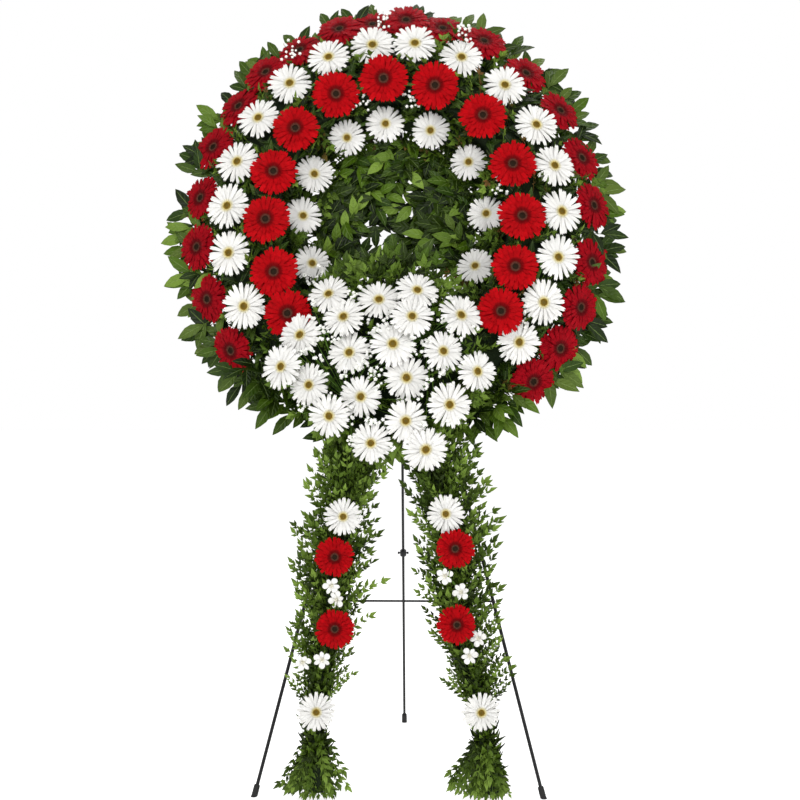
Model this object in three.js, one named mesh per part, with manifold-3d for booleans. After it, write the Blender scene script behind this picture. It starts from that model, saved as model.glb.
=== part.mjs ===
// A funeral wreath of gerberas on a folding rod easel, with two hanging garlands.
// Millimetres, Z up. The wreath faces -Y and leans back with the easel's front legs.

import * as THREE from 'three';
import { mergeVertices } from 'three/addons/utils/BufferGeometryUtils.js';
import Module from 'manifold-3d';

const wasm = await Module();
wasm.setup();

// Clearance between pieces that rest on each other
const GAP = 0.35;
// Lean of the front legs and of the wreath, in degrees
const LEAN = 10;
// Middle of the whole object's width and depth, from the point midway between the front feet
const MIDDLE = new THREE.Vector3(-14, 260, 0);

// The easel, measured up the slope of its front legs
const EASEL = {
  footHalfSpan: 289,
  apex: 1158,
  rod: 3.5,
  rodEnd: 1106,
  mastRod: 3.5,
  mastBack: 0.7,
  mastFoot: 1090,
  mastTop: 1452,
  braceUp: 388,
  braceRod: 2.2,
  braceHalf: 197,
  hookRod: 3,
  hookX: 99,
  plateHalf: 23,
  plateLow: 1086,
  plateHigh: 1150,
  plateThick: 3,
  hingeUp: 1135,
  hingeBack: 20,
  pinRadius: 2.5,
  pinHole: 3,
  earInner: 8.5,
  earThick: 3,
  rearRod: 3,
  rearFootBack: 600,
  clampDown: 718,
  capRadius: 6.2,
  capHeight: 24,
  capSole: 5,
};

// The wreath: its centre sits on the slope of the legs, and circles on it are a little taller than wide
const WREATH = { x: -12, up: 1184, oval: 1.1, stations: 24 };

// Section of the foam ring as radius and height above its back, from its inner back edge round to its outer one
const RING_SECTION = [[200, 0], [196, 18], [238, 37.6], [244, 84], [286, 80], [356, 42.6], [392, 0]];

// Flowers, as shares of their radius and heights from the petals' plane
const GERBERA = {
  petals: 8, disc: 0.17, notch: 0.64, tip: 0.32, discRise: 3, tipDrop: 1.5, notchDrop: 3, depth: 11, stem: 2.8,
};
const ALSTROEMERIA = {
  petals: 6, disc: 0.12, notch: 0.4, tip: 0.13, discRise: -3, tipDrop: -4, notchDrop: 4, depth: 12, stem: 1.8,
  radius: 20,
};

// Rows of blooms: facet of the ring they are bound to and place across it, then radius, height and outward tilt,
// which is less by the nod at the top, where the blooms look down at the viewer
const ROWS = [
  {
    name: 'outer_red', nodes: 4, facet: 5, seat: 38, radius: 425, height: 8,
    tilt: 44, nod: 8, stagger: 7, seed: 31, bloom: 50, petals: 8,
    colour: 'darkRed', flare: 0,
    angles: [216, 200, 186, 172, 158, 144, 132, 120, 107, 97, 87, 76, 63, 48, 33, 19, 5, -10, -23, -35, -47],
  },
  {
    name: 'outer_white', nodes: 4, facet: 4, seat: 40, radius: 349, height: 82,
    tilt: 18, nod: 7, stagger: 2, seed: 32, bloom: 47, petals: 8,
    colour: 'white', flare: 8,
    angles: [210, 192, 177, 162, 146, 130, 114, 98, 83, 66, 48, 31, 16, 1, -14, -29, -44],
  },
  {
    name: 'red', nodes: 3, facet: 3, seat: 21, radius: 262, height: 117,
    tilt: 5, nod: 14, stagger: 2, seed: 33, bloom: 50, petals: 8,
    colour: 'red', flare: 32,
    angles: [223, 206, 184, 163, 142, 118, 95, 71, 45, 20, -3, -24, -42],
  },
  {
    name: 'inner_white', nodes: 3, facet: 1, seat: 22, radius: 194, height: 55,
    tilt: -24, nod: 0, stagger: 0, seed: 34, bloom: 40, petals: 8,
    colour: 'white', flare: 0,
    angles: [207, 178, 152, 122, 96, 67, 36, 3, -29],
  },
];

// The mound of white blooms: rows of places across, at a distance below the ring's centre
const MOUND = {
  centre: [-25, -335],
  foamBack: 84.35,
  foamFront: 112,
  crown: 157,
  fall: 0.0005,
  tiltPerMm: 0.13,
  bloom: 45.5,
  petals: 8,
  liftStep: 10,
  gather: 0.92,
  binding: 2.2,
  outline: [[-135, -168], [60, -165], [150, -215], [178, -340], [125, -430], [72, -492], [-52, -485], [-138, -440],
    [-222, -352], [-205, -262]],
  sprays: [
    [[-130, -186], [-98, -238], [-186, -271], [-222, -337]],
    [[-28, -200], [49, -182], [39, -240], [137, -230]],
    [[-86, -310], [1, -295], [101, -308], [169, -345]],
    [[-166, -374], [-124, -438], [-62, -399], [-42, -490]],
    [[28, -361], [27, -448], [113, -415], [66, -502]],
  ],
};

// The hanging garlands: middle line from the ring's underside down, with the core's radius at each point
const GARLANDS = [
  {
    side: 'left',
    line: [[-76, 96, 774], [-80, 86, 740], [-88, 62, 690], [-108, 28, 590], [-128, 6, 490], [-135, -2, 360],
      [-152, -12, 262], [-165, -28, 166], [-163, -38, 90], [-160, -46, 24]],
    blooms: [
      { colour: 'white', at: [-108, -38, 564], radius: 37 },
      { colour: 'red', at: [-124, -52, 486], radius: 38 },
      { colour: 'red', at: [-123, -62, 347], radius: 38 },
      { colour: 'white', at: [-157, -84, 190], radius: 37 },
    ],
    alstroemerias: [[[-131, -48, 430], [-120, -48, 402]], [[-148, -56, 286], [-186, -56, 281]]],
  },
  {
    side: 'right',
    line: [[50, 96, 774], [52, 86, 740], [58, 62, 690], [84, 28, 590], [108, 6, 490], [118, -2, 360],
      [142, -12, 262], [165, -28, 166], [176, -38, 90], [183, -46, 24]],
    blooms: [
      { colour: 'white', at: [94, -38, 570], radius: 37 },
      { colour: 'red', at: [112, -50, 503], radius: 38 },
      { colour: 'red', at: [115, -62, 356], radius: 38 },
      { colour: 'white', at: [162, -84, 191], radius: 37 },
    ],
    alstroemerias: [[[92, -50, 450], [124, -50, 418]], [[158, -48, 328], [140, -50, 294]]],
  },
];
const CORE = {
  radii: [7, 12, 18, 22, 22, 20, 18, 14, 17, 15],
  sides: 7,
  peg: 5,
  pegUp: 38,
  rootDepth: 6,
  tie: 7,
  tieSeat: 1.8,
  rows: 7,
  highest: 690,
  lowest: 200,
  turns: [-150, -30, 95],
  tails: 8,
  tailFrom: [[120, 78], [84, 56]],
};

// Leaves: length of blade and stalk, width, thickness at the rib, fold and arch
const COLLAR_LEAF = { length: 68, stalk: 58, width: 25, thick: 2, fold: 3, arch: 6 };
const HOLE_LEAF = { length: 64, width: 27, thick: 2, fold: 3, arch: 6 };
const LOWER_LEAF = { length: 74, stalk: 48, width: 29, thick: 2, fold: 3, arch: 8 };
const BED_LEAF = { length: 34, width: 14, thick: 1.6, fold: 1, arch: 3 };
const SPRIG = { length: 96, leaflet: 32, pairs: 2, thick: 1.8, fold: 1.5, arch: 5 };

// Greenery of the ring: facet it grows from and place across it, number, and lean outwards
const BEDS = [
  { facet: 4, seat: 8, count: 14, lean: 0.9 },
  { facet: 4, seat: 70, count: 16, lean: 0.5 },
  { facet: 3, seat: 38, count: 12, lean: 0.3 },
];
const COLLAR = {
  section: [[392.45, 0], [400, -2], [399, -9], [392.45, -9]],
  arcs: 5,
  low: -46,
  high: 226,
  leaves: 15,
};
const HOLE = { arcs: [[-38, 22], [23, 82.5], [91, 154], [155, 218]], leaves: 18, stalks: [96, 20, 62, 34] };
const LOWER = {
  arcs: [{ side: 'left', from: 222, to: 264 }, { side: 'right', from: 277, to: 310 }],
  seat: 38,
  leaves: 14,
  tilts: [84, 62, 74],
};
const GYPSOPHILA = {
  knots: [{ name: 'high', x: 75, y: -262 }, { name: 'low', x: -90, y: -400 }],
  flowers: 5,
  flower: 5,
  lift: 12,
};

const MATERIALS = {
  white: ['#f4f2ea', 0.6, 0],
  red: ['#c8000f', 0.55, 0],
  darkRed: ['#8f0410', 0.6, 0],
  leaf: ['#46651c', 0.5, 0],
  darkLeaf: ['#2b4416', 0.5, 0],
  bed: ['#34501b', 0.8, 0],
  sprig: ['#3f5f22', 0.6, 0],
  foam: ['#3c5a2a', 0.95, 0],
  blackSteel: ['#141414', 0.35, 0.7],
  pinSteel: ['#8a8c8e', 0.35, 0.9],
  rubber: ['#101010', 0.85, 0],
  wire: ['#1f3a1c', 0.5, 0.3],
};

const UP = new THREE.Vector3(0, 0, 1);
const FRONT = new THREE.Vector3(0, -1, 0);
const RIGHT = new THREE.Vector3(1, 0, 0);

function radians(degrees) {
  return THREE.MathUtils.degToRad(degrees);
}

function vector(x, y, z) {
  return new THREE.Vector3(x, y, z);
}

// Seeded draws, so that each group of pieces falls the same way each time
const draws = { state: 1 };
function startDraws(seed) {
  draws.state = seed;
}
function random() {
  draws.state = (draws.state * 16807) % 2147483647;
  return draws.state / 2147483647;
}
function between(low, high) {
  return low + (high - low) * random();
}

// Solids

function solidFrom(points, triangles) {
  return new wasm.Manifold(new wasm.Mesh({
    numProp: 3,
    vertProperties: new Float32Array(points.flatMap((point) => point.toArray())),
    triVerts: new Uint32Array(triangles.flat()),
  }));
}

function solidOf(geometry) {
  const bare = geometry.clone();
  bare.deleteAttribute('normal');
  bare.deleteAttribute('uv');
  const merged = mergeVertices(bare, 1e-4);
  return new wasm.Manifold(new wasm.Mesh({
    numProp: 3,
    vertProperties: merged.attributes.position.array,
    triVerts: new Uint32Array(merged.index.array),
  }));
}

function geometryOf(solid) {
  const mesh = solid.getMesh();
  const geometry = new THREE.BufferGeometry();
  geometry.setAttribute('position', new THREE.BufferAttribute(new Float32Array(mesh.vertProperties), 3));
  geometry.setIndex(new THREE.BufferAttribute(new Uint32Array(mesh.triVerts), 1));
  geometry.computeVertexNormals();
  return geometry;
}

function joined(solids) {
  return solids.reduce((whole, solid) => whole.add(solid));
}

// A solid modelled round the Z axis, moved to a place with that axis turned to face a way
function facing(solid, place, way, spin = 0) {
  const turn = new THREE.Quaternion().setFromUnitVectors(UP, way.clone().normalize());
  turn.multiply(new THREE.Quaternion().setFromAxisAngle(UP, spin));
  return solid.transform(new THREE.Matrix4().compose(place, turn, vector(1, 1, 1)).elements);
}

function box(low, high) {
  const size = high.clone().sub(low);
  const middle = low.clone().add(high).multiplyScalar(0.5);
  return solidOf(new THREE.BoxGeometry(size.x, size.y, size.z).translate(middle.x, middle.y, middle.z));
}

// A closed tube through points, with a radius at each and flat ends
function tube(points, radii, sides) {
  const start = points[1].clone().sub(points[0]).normalize();
  const reference = Math.abs(start.x) < 0.7 ? RIGHT : FRONT;
  const rim = [];
  points.forEach((point, i) => {
    const next = points[Math.min(i + 1, points.length - 1)];
    const along = next.clone().sub(points[Math.max(i - 1, 0)]).normalize();
    const across = new THREE.Vector3().crossVectors(along, reference).normalize();
    const third = new THREE.Vector3().crossVectors(along, across);
    for (let k = 0; k < sides; k += 1) {
      const turn = (2 * Math.PI * k) / sides;
      const radius = Array.isArray(radii) ? radii[i] : radii;
      rim.push(point.clone().addScaledVector(across, radius * Math.cos(turn))
        .addScaledVector(third, radius * Math.sin(turn)));
    }
  });
  return solidFrom(rim, skin(points.length, sides, true));
}

// Triangles of a skin over rings of points, with fans over both ends or closed on itself
function skin(rings, sides, capped) {
  const triangles = [];
  const bands = capped ? rings - 1 : rings;
  for (let i = 0; i < bands; i += 1) {
    for (let k = 0; k < sides; k += 1) {
      const a = i * sides + k;
      const b = i * sides + ((k + 1) % sides);
      const c = ((i + 1) % rings) * sides + k;
      const d = ((i + 1) % rings) * sides + ((k + 1) % sides);
      triangles.push([a, b, d], [a, d, c]);
    }
  }
  const last = (rings - 1) * sides;
  for (let k = 1; capped && k < sides - 1; k += 1) {
    triangles.push([0, k + 1, k], [last, last + k, last + k + 1]);
  }
  return triangles;
}

// A flower head on its stem: blunt petals with grooves between them, a raised disc, and a cone that narrows to
// a three-sided stem, which ends at the root
function bloomOnStem(place, way, radius, kind, petals, root) {
  const turn = new THREE.Quaternion().setFromUnitVectors(UP, way.clone().normalize());
  const spin = between(0, 1);
  const step = (2 * Math.PI) / petals;
  const at = (share, angle, z) => vector(radius * share * Math.cos(angle + spin),
    radius * share * Math.sin(angle + spin), z).applyQuaternion(turn).add(place);
  const points = [at(0, 0, kind.discRise)];
  for (let i = 0; i < petals; i += 1) {
    points.push(at(kind.disc, i * step, kind.discRise / 2), at(kind.notch, i * step, -kind.notchDrop));
    points.push(at(1, (i + 0.5 - kind.tip) * step, -kind.tipDrop), at(1, (i + 0.5 + kind.tip) * step, -kind.tipDrop));
  }
  const collar = points.length;
  const corners = [0, 1, 2].map((k) => at(kind.stem / radius, ((k + 0.5) * 2 * Math.PI) / 3, -kind.depth));
  const shift = root.clone().sub(at(0, 0, -kind.depth));
  points.push(...corners, ...corners.map((corner) => corner.clone().add(shift)));
  const triangles = [];
  const outline = [];
  for (let i = 0; i < petals; i += 1) {
    const [disc, notch, tip, otherTip] = [0, 1, 2, 3].map((k) => 1 + 4 * i + k);
    const [nextDisc, nextNotch] = [0, 1].map((k) => 1 + 4 * ((i + 1) % petals) + k);
    triangles.push([0, disc, nextDisc], [disc, notch, tip], [disc, tip, otherTip], [disc, otherTip, nextDisc]);
    triangles.push([nextDisc, otherTip, nextNotch]);
    outline.push(notch, tip, otherTip);
  }
  outline.forEach((point, i) => {
    const third = Math.floor((3 * i) / outline.length);
    const nextThird = Math.floor((3 * ((i + 1) % outline.length)) / outline.length);
    const next = outline[(i + 1) % outline.length];
    triangles.push([collar + third, next, point]);
    if (nextThird !== third) triangles.push([collar + third, collar + nextThird, next]);
  });
  for (let k = 0; k < 3; k += 1) {
    const [a, b] = [collar + k, collar + ((k + 1) % 3)];
    triangles.push([a, a + 3, b + 3], [a, b + 3, b]);
  }
  triangles.push([collar + 3, collar + 5, collar + 4]);
  return solidFrom(points, triangles);
}

// Places on a blade: share of its length, distance to a side and lift off its arched middle line
function bladeFrame(base, heading, up, length, arch) {
  const along = heading.clone().normalize();
  const side = new THREE.Vector3().crossVectors(up, along).normalize();
  const top = new THREE.Vector3().crossVectors(along, side);
  return (share, across, lift) => base.clone().addScaledVector(along, length * share)
    .addScaledVector(side, across).addScaledVector(top, lift + arch * 4 * share * (1 - share));
}

// A pointed leaf on a narrow stalk, folded along its rib and arched; extra fattens it for a test
function stalkedLeaf(base, heading, up, size, extra = 0) {
  const at = bladeFrame(base, heading, up, size.stalk + size.length + extra, size.arch);
  const stalk = size.stalk / (size.stalk + size.length);
  const blade = (share) => stalk + (1 - stalk) * share;
  const half = size.width / 2 + extra;
  const thick = size.thick / 2 + extra;
  const edge = (hand) => [[0.02, 1.4 + extra, 0], [0.36, half, size.fold], [0.72, 0.64 * half, size.fold]]
    .map(([share, across, lift]) => at(blade(share), hand * across, lift));
  return footedBlade(at, 1.2 + extra, thick, blade(0.45), [edge(-1), edge(1)]);
}

// A blade with a four-cornered foot: an upper and a lower middle point, and the edges of both hands up to the tip
function footedBlade(at, foot, thick, middle, edges) {
  const points = [at(0, 0, foot), at(0, 0, -foot), at(middle, 0, thick), at(middle, 0, -thick), at(1, 0, 0)];
  const triangles = [];
  const corners = edges.map((edge, hand) => {
    const side = [at(0, (hand ? 1 : -1) * foot, 0), ...edge].map((point) => points.push(point) - 1);
    for (const level of [0, 1]) {
      const face = (a, b, c) => triangles.push((hand === 0) === (level === 0) ? [a, b, c] : [a, c, b]);
      face(level, side[0], side[1]);
      face(level, side[1], 2 + level);
      side.slice(1).forEach((corner, i) => face(2 + level, corner, i + 2 < side.length ? side[i + 2] : 4));
    }
    return side[0];
  });
  triangles.push([0, 1, corners[0]], [0, corners[1], 1]);
  return solidFrom(points, triangles);
}

// A short leaf with no stalk
function shortLeaf(base, heading, up, size, extra = 0) {
  const at = bladeFrame(base, heading, up, size.length + extra, size.arch);
  const half = size.width / 2 + extra;
  const thick = size.thick / 2 + extra;
  return footedBlade(at, 1 + extra, thick, 0.5, [-1, 1].map((hand) => [at(0.48, hand * half, size.fold)]));
}

// A sprig as one thin arched blade: leaflets cut to the rib on both sides, and one at the tip
function sprigBlade(base, heading, up, size, extra = 0) {
  const at = bladeFrame(base, heading, up, size.length + extra, size.arch);
  const thick = size.thick / 2 + extra;
  const first = 0.3;
  const pitch = (0.72 - first) / size.pairs;
  const reach = size.leaflet / size.length;
  const points = [at(0, 0, 0), at(1, 0, 0)];
  const triangles = [];
  const add = (point) => points.push(point) - 1;
  const ribs = Array.from({ length: size.pairs + 1 }, (_, k) => {
    const share = first + pitch * k;
    return [add(at(share, 0, thick)), add(at(share, 0, -thick))];
  });
  for (const hand of [-1, 1]) {
    const face = (level, a, b, c) => triangles.push((hand < 0) === (level === 0) ? [a, b, c] : [a, c, b]);
    const notches = ribs.map((_, k) => add(at(first + pitch * k, hand * (1.5 + extra), 0)));
    const out = size.leaflet * 0.86 + extra;
    ribs.forEach((rib, k) => {
      const share = first + pitch * k;
      for (const level of [0, 1]) if (k === 0) face(level, rib[level], 0, notches[0]);
      if (k === size.pairs) {
        const wide = add(at(share + 0.5 * (1 - share), hand * (size.leaflet * 0.26 + extra), size.fold));
        for (const level of [0, 1]) {
          face(level, rib[level], notches[k], wide);
          face(level, rib[level], wide, 1);
        }
        return;
      }
      const belly = add(at(share + reach * 0.16, hand * out * 0.62, size.fold));
      const tip = add(at(share + reach * 0.62, hand * out, 0));
      for (const level of [0, 1]) {
        face(level, rib[level], notches[k], belly);
        face(level, rib[level], belly, tip);
        face(level, rib[level], tip, notches[k + 1]);
        face(level, rib[level], notches[k + 1], ribs[k + 1][level]);
      }
    });
  }
  return solidFrom(points, triangles);
}

// Groups: the slope of the front legs, the wreath on it, and the rear leg on its hinge

const wreathOnEasel = new THREE.Group();
const slope = new THREE.Group();
slope.rotation.x = radians(90 - LEAN);
const wreath = new THREE.Group();
wreath.position.set(WREATH.x, WREATH.up, EASEL.rod + GAP);
const hingePoint = vector(0, EASEL.hingeUp * Math.sin(radians(LEAN)) + EASEL.hingeBack * Math.cos(radians(LEAN)),
  EASEL.hingeUp * Math.cos(radians(LEAN)) - EASEL.hingeBack * Math.sin(radians(LEAN)));
const rear = new THREE.Group();
rear.position.copy(hingePoint);
rear.rotation.x = Math.atan2(EASEL.rearFootBack - hingePoint.y, hingePoint.z);
wreathOnEasel.add(slope, rear);
slope.add(wreath);
wreathOnEasel.updateMatrixWorld(true);

const placed = [];

function inWorld(solid, group) {
  return solid.transform(group.matrixWorld.elements);
}

function addNode(name, solid, material, group) {
  const [color, roughness, metalness] = MATERIALS[material];
  const finish = new THREE.MeshStandardMaterial({ color, roughness, metalness, flatShading: true });
  const mesh = new THREE.Mesh(geometryOf(solid), finish);
  mesh.name = name;
  group.add(mesh);
  placed.push({ name, solid: inWorld(solid, group) });
}

function boxesMeet(a, b) {
  return [0, 1, 2].every((k) => a.min[k] <= b.max[k] && b.min[k] <= a.max[k]);
}

// Whether a solid in a group's frame touches none of the nodes placed so far
function isClear(solid, group) {
  const test = inWorld(solid, group);
  const extent = test.boundingBox();
  return placed.every((other) => !boxesMeet(extent, other.solid.boundingBox())
    || other.solid.intersect(test).isEmpty());
}

// The foam ring's surface

function onSection(facet, along, out) {
  const [r0, h0] = RING_SECTION[facet];
  const [r1, h1] = RING_SECTION[facet + 1];
  const length = Math.hypot(r1 - r0, h1 - h0);
  const [dr, dh] = [(r1 - r0) / length, (h1 - h0) / length];
  return [r0 + dr * along - dh * out, h0 + dh * along + dr * out];
}

// A point of the wreath at a radius, an angle and a height, on the straight chord between two stations
function onRing(radius, angle, height) {
  const step = 360 / WREATH.stations;
  const station = Math.floor(angle / step + 1e-9);
  const share = angle / step - station;
  const [a, b] = [station, station + 1].map((k) => {
    const turn = radians(k * step);
    return vector(radius * Math.cos(turn), WREATH.oval * radius * Math.sin(turn), height);
  });
  return a.lerp(b, share);
}

// A bar that follows the ring between two angles, with a section of radius and height points
function ringBar(section, from, to) {
  const step = 360 / WREATH.stations;
  const angles = [from];
  for (let k = Math.floor(from / step + 1e-6) + 1; k * step < to - 1e-6; k += 1) angles.push(k * step);
  const whole = to - from >= 360;
  if (!whole) angles.push(to);
  const points = angles.flatMap((angle) => section.map(([radius, height]) => onRing(radius, angle, height)));
  return solidFrom(points, skin(angles.length, section.length, !whole));
}

function boundStems(facet, seat, from, to, half = 5, tall = 8) {
  const section = [onSection(facet, seat - half, GAP), onSection(facet, seat, GAP + tall),
    onSection(facet, seat + half, GAP)];
  return ringBar(section, from, to);
}

// Where a circle of the ring passes a place across, above or below the centre
function ringHeightAt(x, radius, below) {
  const step = 360 / WREATH.stations;
  for (let k = 0; k < WREATH.stations / 2; k += 1) {
    const a = onRing(radius, (below ? 180 : 0) + k * step, 0);
    const b = onRing(radius, (below ? 180 : 0) + (k + 1) * step, 0);
    if ((a.x - x) * (b.x - x) <= 0) return a.y + ((b.y - a.y) * (x - a.x)) / (b.x - a.x);
  }
  throw new Error('the circle does not pass there');
}

// The easel

function frontLeg(side) {
  const foot = vector(side * EASEL.footHalfSpan, 0, 0);
  const way = vector(-side * EASEL.footHalfSpan, EASEL.apex, 0).normalize();
  const end = EASEL.rodEnd / way.y;
  const rod = tube([foot.clone().addScaledVector(way, EASEL.capSole + GAP), foot.clone().addScaledVector(way, end)],
    EASEL.rod, 6);
  const hookX = side * EASEL.hookX;
  const seat = WREATH.up + ringHeightAt(hookX - WREATH.x, RING_SECTION[6][0], true) - 2 * GAP - EASEL.hookRod;
  const onLeg = (y) => side * EASEL.footHalfSpan * (1 - y / EASEL.apex);
  const hook = tube([vector(onLeg(seat), seat, 0), vector(hookX, seat, 16), vector(hookX, seat, 48),
    vector(hookX, seat + 20, 54)], EASEL.hookRod, 6);
  return rod.add(hook);
}

function footCap(foot, way) {
  const along = (distance) => foot.clone().addScaledVector(way, distance);
  const sleeve = tube([along(-2 * EASEL.capRadius), along(EASEL.capHeight)], EASEL.capRadius, 8);
  const socket = tube([along(EASEL.capSole), along(2 * EASEL.capHeight)], EASEL.rod + 2 * GAP, 8);
  const floor = box(vector(foot.x - 50, foot.y - 50, -50), vector(foot.x + 50, foot.y + 50, 0));
  return sleeve.subtract(socket).subtract(floor);
}

function pinHole() {
  return tube([vector(-30, 0, 0), vector(30, 0, 0)], EASEL.pinHole, 10);
}

function mastWithBracket() {
  const under = WREATH.up + ringHeightAt(-WREATH.x, RING_SECTION[1][0], false) - 3 * GAP - EASEL.hookRod;
  const mast = tube([vector(0, EASEL.mastFoot, -EASEL.mastBack), vector(0, EASEL.mastTop, -EASEL.mastBack)],
    EASEL.mastRod, 6);
  const hook = tube([vector(0, under, 0), vector(0, under, 26), vector(0, under + 5, 34)], EASEL.hookRod, 6);
  const front = -EASEL.rod - GAP;
  const plate = box(vector(-EASEL.plateHalf, EASEL.plateLow, front - EASEL.plateThick),
    vector(EASEL.plateHalf, EASEL.plateHigh, front));
  const ears = [-1, 1].map((side) => {
    const [inner, outer] = [side * EASEL.earInner, side * (EASEL.earInner + EASEL.earThick)];
    return box(vector(Math.min(inner, outer), EASEL.hingeUp - 9, -EASEL.hingeBack - 9),
      vector(Math.max(inner, outer), EASEL.hingeUp + 9, front - 1));
  });
  const hole = pinHole().translate([0, EASEL.hingeUp, -EASEL.hingeBack]);
  return joined([mast, hook, plate, ...ears]).subtract(hole);
}

function hingePin() {
  const reach = EASEL.earInner + EASEL.earThick + GAP;
  const shaft = tube([vector(-reach - 1, 0, 0), vector(reach + 1, 0, 0)], EASEL.pinRadius, 8);
  const heads = [-1, 1].map((side) => tube([vector(side * reach, 0, 0), vector(side * (reach + 2.5), 0, 0)],
    1.9 * EASEL.pinRadius, 8));
  return joined([shaft, ...heads]).translate([0, EASEL.hingeUp, -EASEL.hingeBack]);
}

function crossBrace() {
  const back = -EASEL.rod - GAP - EASEL.braceRod;
  return tube([vector(-EASEL.braceHalf, EASEL.braceUp, back), vector(EASEL.braceHalf, EASEL.braceUp, back)],
    EASEL.braceRod, 6);
}

const rearLegLength = Math.hypot(EASEL.rearFootBack - hingePoint.y, hingePoint.z);

function rearLeg() {
  const rod = tube([vector(0, 0, 0), vector(0, 0, -rearLegLength + EASEL.capSole + GAP)], EASEL.rearRod, 6);
  const reach = EASEL.earInner - 1;
  const eye = tube([vector(-reach, 0, 0), vector(reach, 0, 0)], 6.8, 10);
  return rod.add(eye).subtract(pinHole());
}

function legClamp() {
  const hole = EASEL.rearRod + 2 * GAP;
  const profile = [[hole, -7], [hole + 3.6, -7], [hole + 3.6, 7], [hole, 7], [hole, -7]];
  const band = solidOf(new THREE.LatheGeometry(profile.map(([r, z]) => new THREE.Vector2(r, z)), 10));
  const screws = [-1, 1].map((side) => tube([vector(side * (hole + 2), 0, 0), vector(side * (hole + 9), 0, 0)],
    2.4, 6));
  const upright = facing(band, vector(0, 0, 0), FRONT);
  return joined([upright, ...screws]).translate([0, 0, -EASEL.clampDown]);
}

function buildEasel() {
  for (const [name, side] of [['left', -1], ['right', 1]]) {
    addNode(`front_leg_${name}`, frontLeg(side), 'blackSteel', slope);
    const way = vector(-side * EASEL.footHalfSpan, EASEL.apex, 0).normalize().transformDirection(slope.matrixWorld);
    addNode(`foot_cap_${name}`, footCap(vector(side * EASEL.footHalfSpan, 0, 0), way), 'rubber', wreathOnEasel);
  }
  addNode('mast_with_bracket', mastWithBracket(), 'blackSteel', slope);
  addNode('cross_brace', crossBrace(), 'blackSteel', slope);
  addNode('hinge_pin', hingePin(), 'pinSteel', slope);
  addNode('rear_leg', rearLeg(), 'blackSteel', rear);
  addNode('rear_leg_clamp', legClamp(), 'blackSteel', rear);
  const rearFoot = vector(0, EASEL.rearFootBack, 0);
  addNode('foot_cap_rear', footCap(rearFoot, hingePoint.clone().sub(rearFoot).normalize()), 'rubber', wreathOnEasel);
}

// The blooms of the ring

function outward(angle, tilt) {
  const [turn, lean] = [radians(angle), radians(tilt)];
  return vector(Math.cos(turn) * Math.sin(lean), Math.sin(turn) * Math.sin(lean), Math.cos(lean));
}

function buildRow(row) {
  startDraws(row.seed);
  const last = row.angles.length - 1;
  const perNode = row.angles.length / row.nodes;
  for (let node = 0; node < row.nodes; node += 1) {
    const [first, end] = [Math.round(node * perNode), Math.round((node + 1) * perNode)];
    const angles = row.angles.slice(first, end);
    const strand = boundStems(row.facet, row.seat, Math.min(...angles) - 1, Math.max(...angles) + 1);
    const heads = angles.map((angle, i) => {
      const alongRow = (2 * (first + i)) / last - 1;
      const radius = row.radius + row.flare * alongRow ** 6 + between(-3, 3);
      const turn = radians(angle);
      const height = row.height + row.stagger * ((first + i) % 2 ? -1 : 1) + between(-1, 1);
      const place = vector(radius * Math.cos(turn), WREATH.oval * radius * Math.sin(turn), height);
      const [rootRadius, rootHeight] = onSection(row.facet, row.seat, GAP + 3);
      const way = outward(angle, row.tilt - row.nod * Math.max(0, Math.sin(turn)) + between(-3, 3));
      return bloomOnStem(place, way, row.bloom, GERBERA, row.petals, onRing(rootRadius, angle, rootHeight));
    });
    addNode(`${row.name}_${node + 1}`, joined([strand, ...heads]), row.colour, wreath);
  }
}

// The mound

function buildMoundFoam() {
  const shape = new THREE.Shape(MOUND.outline.map(([x, y]) => new THREE.Vector2(x, y)));
  const depth = MOUND.foamFront - MOUND.foamBack;
  const block = new THREE.ExtrudeGeometry(shape, { depth, bevelEnabled: false });
  addNode('mound_foam', solidOf(block.translate(0, 0, MOUND.foamBack)), 'foam', wreath);
}

function moundPlace([x, y], lift) {
  const [dx, dy] = [x - MOUND.centre[0], y - MOUND.centre[1]];
  const away = Math.hypot(dx, dy);
  const place = vector(x, y, MOUND.crown - MOUND.fall * away * away + lift);
  return { place, way: outward(THREE.MathUtils.radToDeg(Math.atan2(dy, dx)), away * MOUND.tiltPerMm) };
}

// The stems of the mound lean outwards, so their roots lie closer together than the blooms
function moundRoot([x, y]) {
  const [cx, cy] = MOUND.centre;
  return vector(cx + (x - cx) * MOUND.gather, cy + (y - cy) * MOUND.gather, MOUND.foamFront + GAP + MOUND.binding);
}

// Each bloom sits a step above or below the ones that it overlaps
function moundLifts(spots) {
  const levels = [];
  spots.forEach(([x, y], i) => {
    const taken = levels.filter((_, k) => Math.hypot(spots[k][0] - x, spots[k][1] - y) < 2 * MOUND.bloom);
    let level = 0;
    while (taken.includes(level)) level += 1;
    levels[i] = level;
  });
  return levels.map((level) => level * MOUND.liftStep);
}

function buildMound() {
  startDraws(12);
  const lifts = moundLifts(MOUND.sprays.flat());
  MOUND.sprays.forEach((spray, node) => {
    const strand = tube(spray.map(moundRoot), MOUND.binding, 4);
    const heads = spray.map((spot, i) => {
      const { place, way } = moundPlace(spot, lifts[node * spray.length + i]);
      return bloomOnStem(place, way, MOUND.bloom, GERBERA, MOUND.petals, moundRoot(spot));
    });
    addNode(`mound_white_${node + 1}`, joined([strand, ...heads]), 'white', wreath);
  });
}

// Foliage

// Adds a leaf to the pieces of a node if it is clear of the other nodes, and crosses few leaves of its own
function grow(pieces, kind, base, heading, up, size, group, crossings = 0) {
  const leaf = kind(base, heading, up, size);
  const crossed = pieces.slice(1).filter((other) => boxesMeet(leaf.boundingBox(), other.boundingBox())
    && !other.intersect(leaf).isEmpty());
  if (crossed.length <= crossings && isClear(kind(base, heading, up, size, 0.7), group)) pieces.push(leaf);
}

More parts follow.
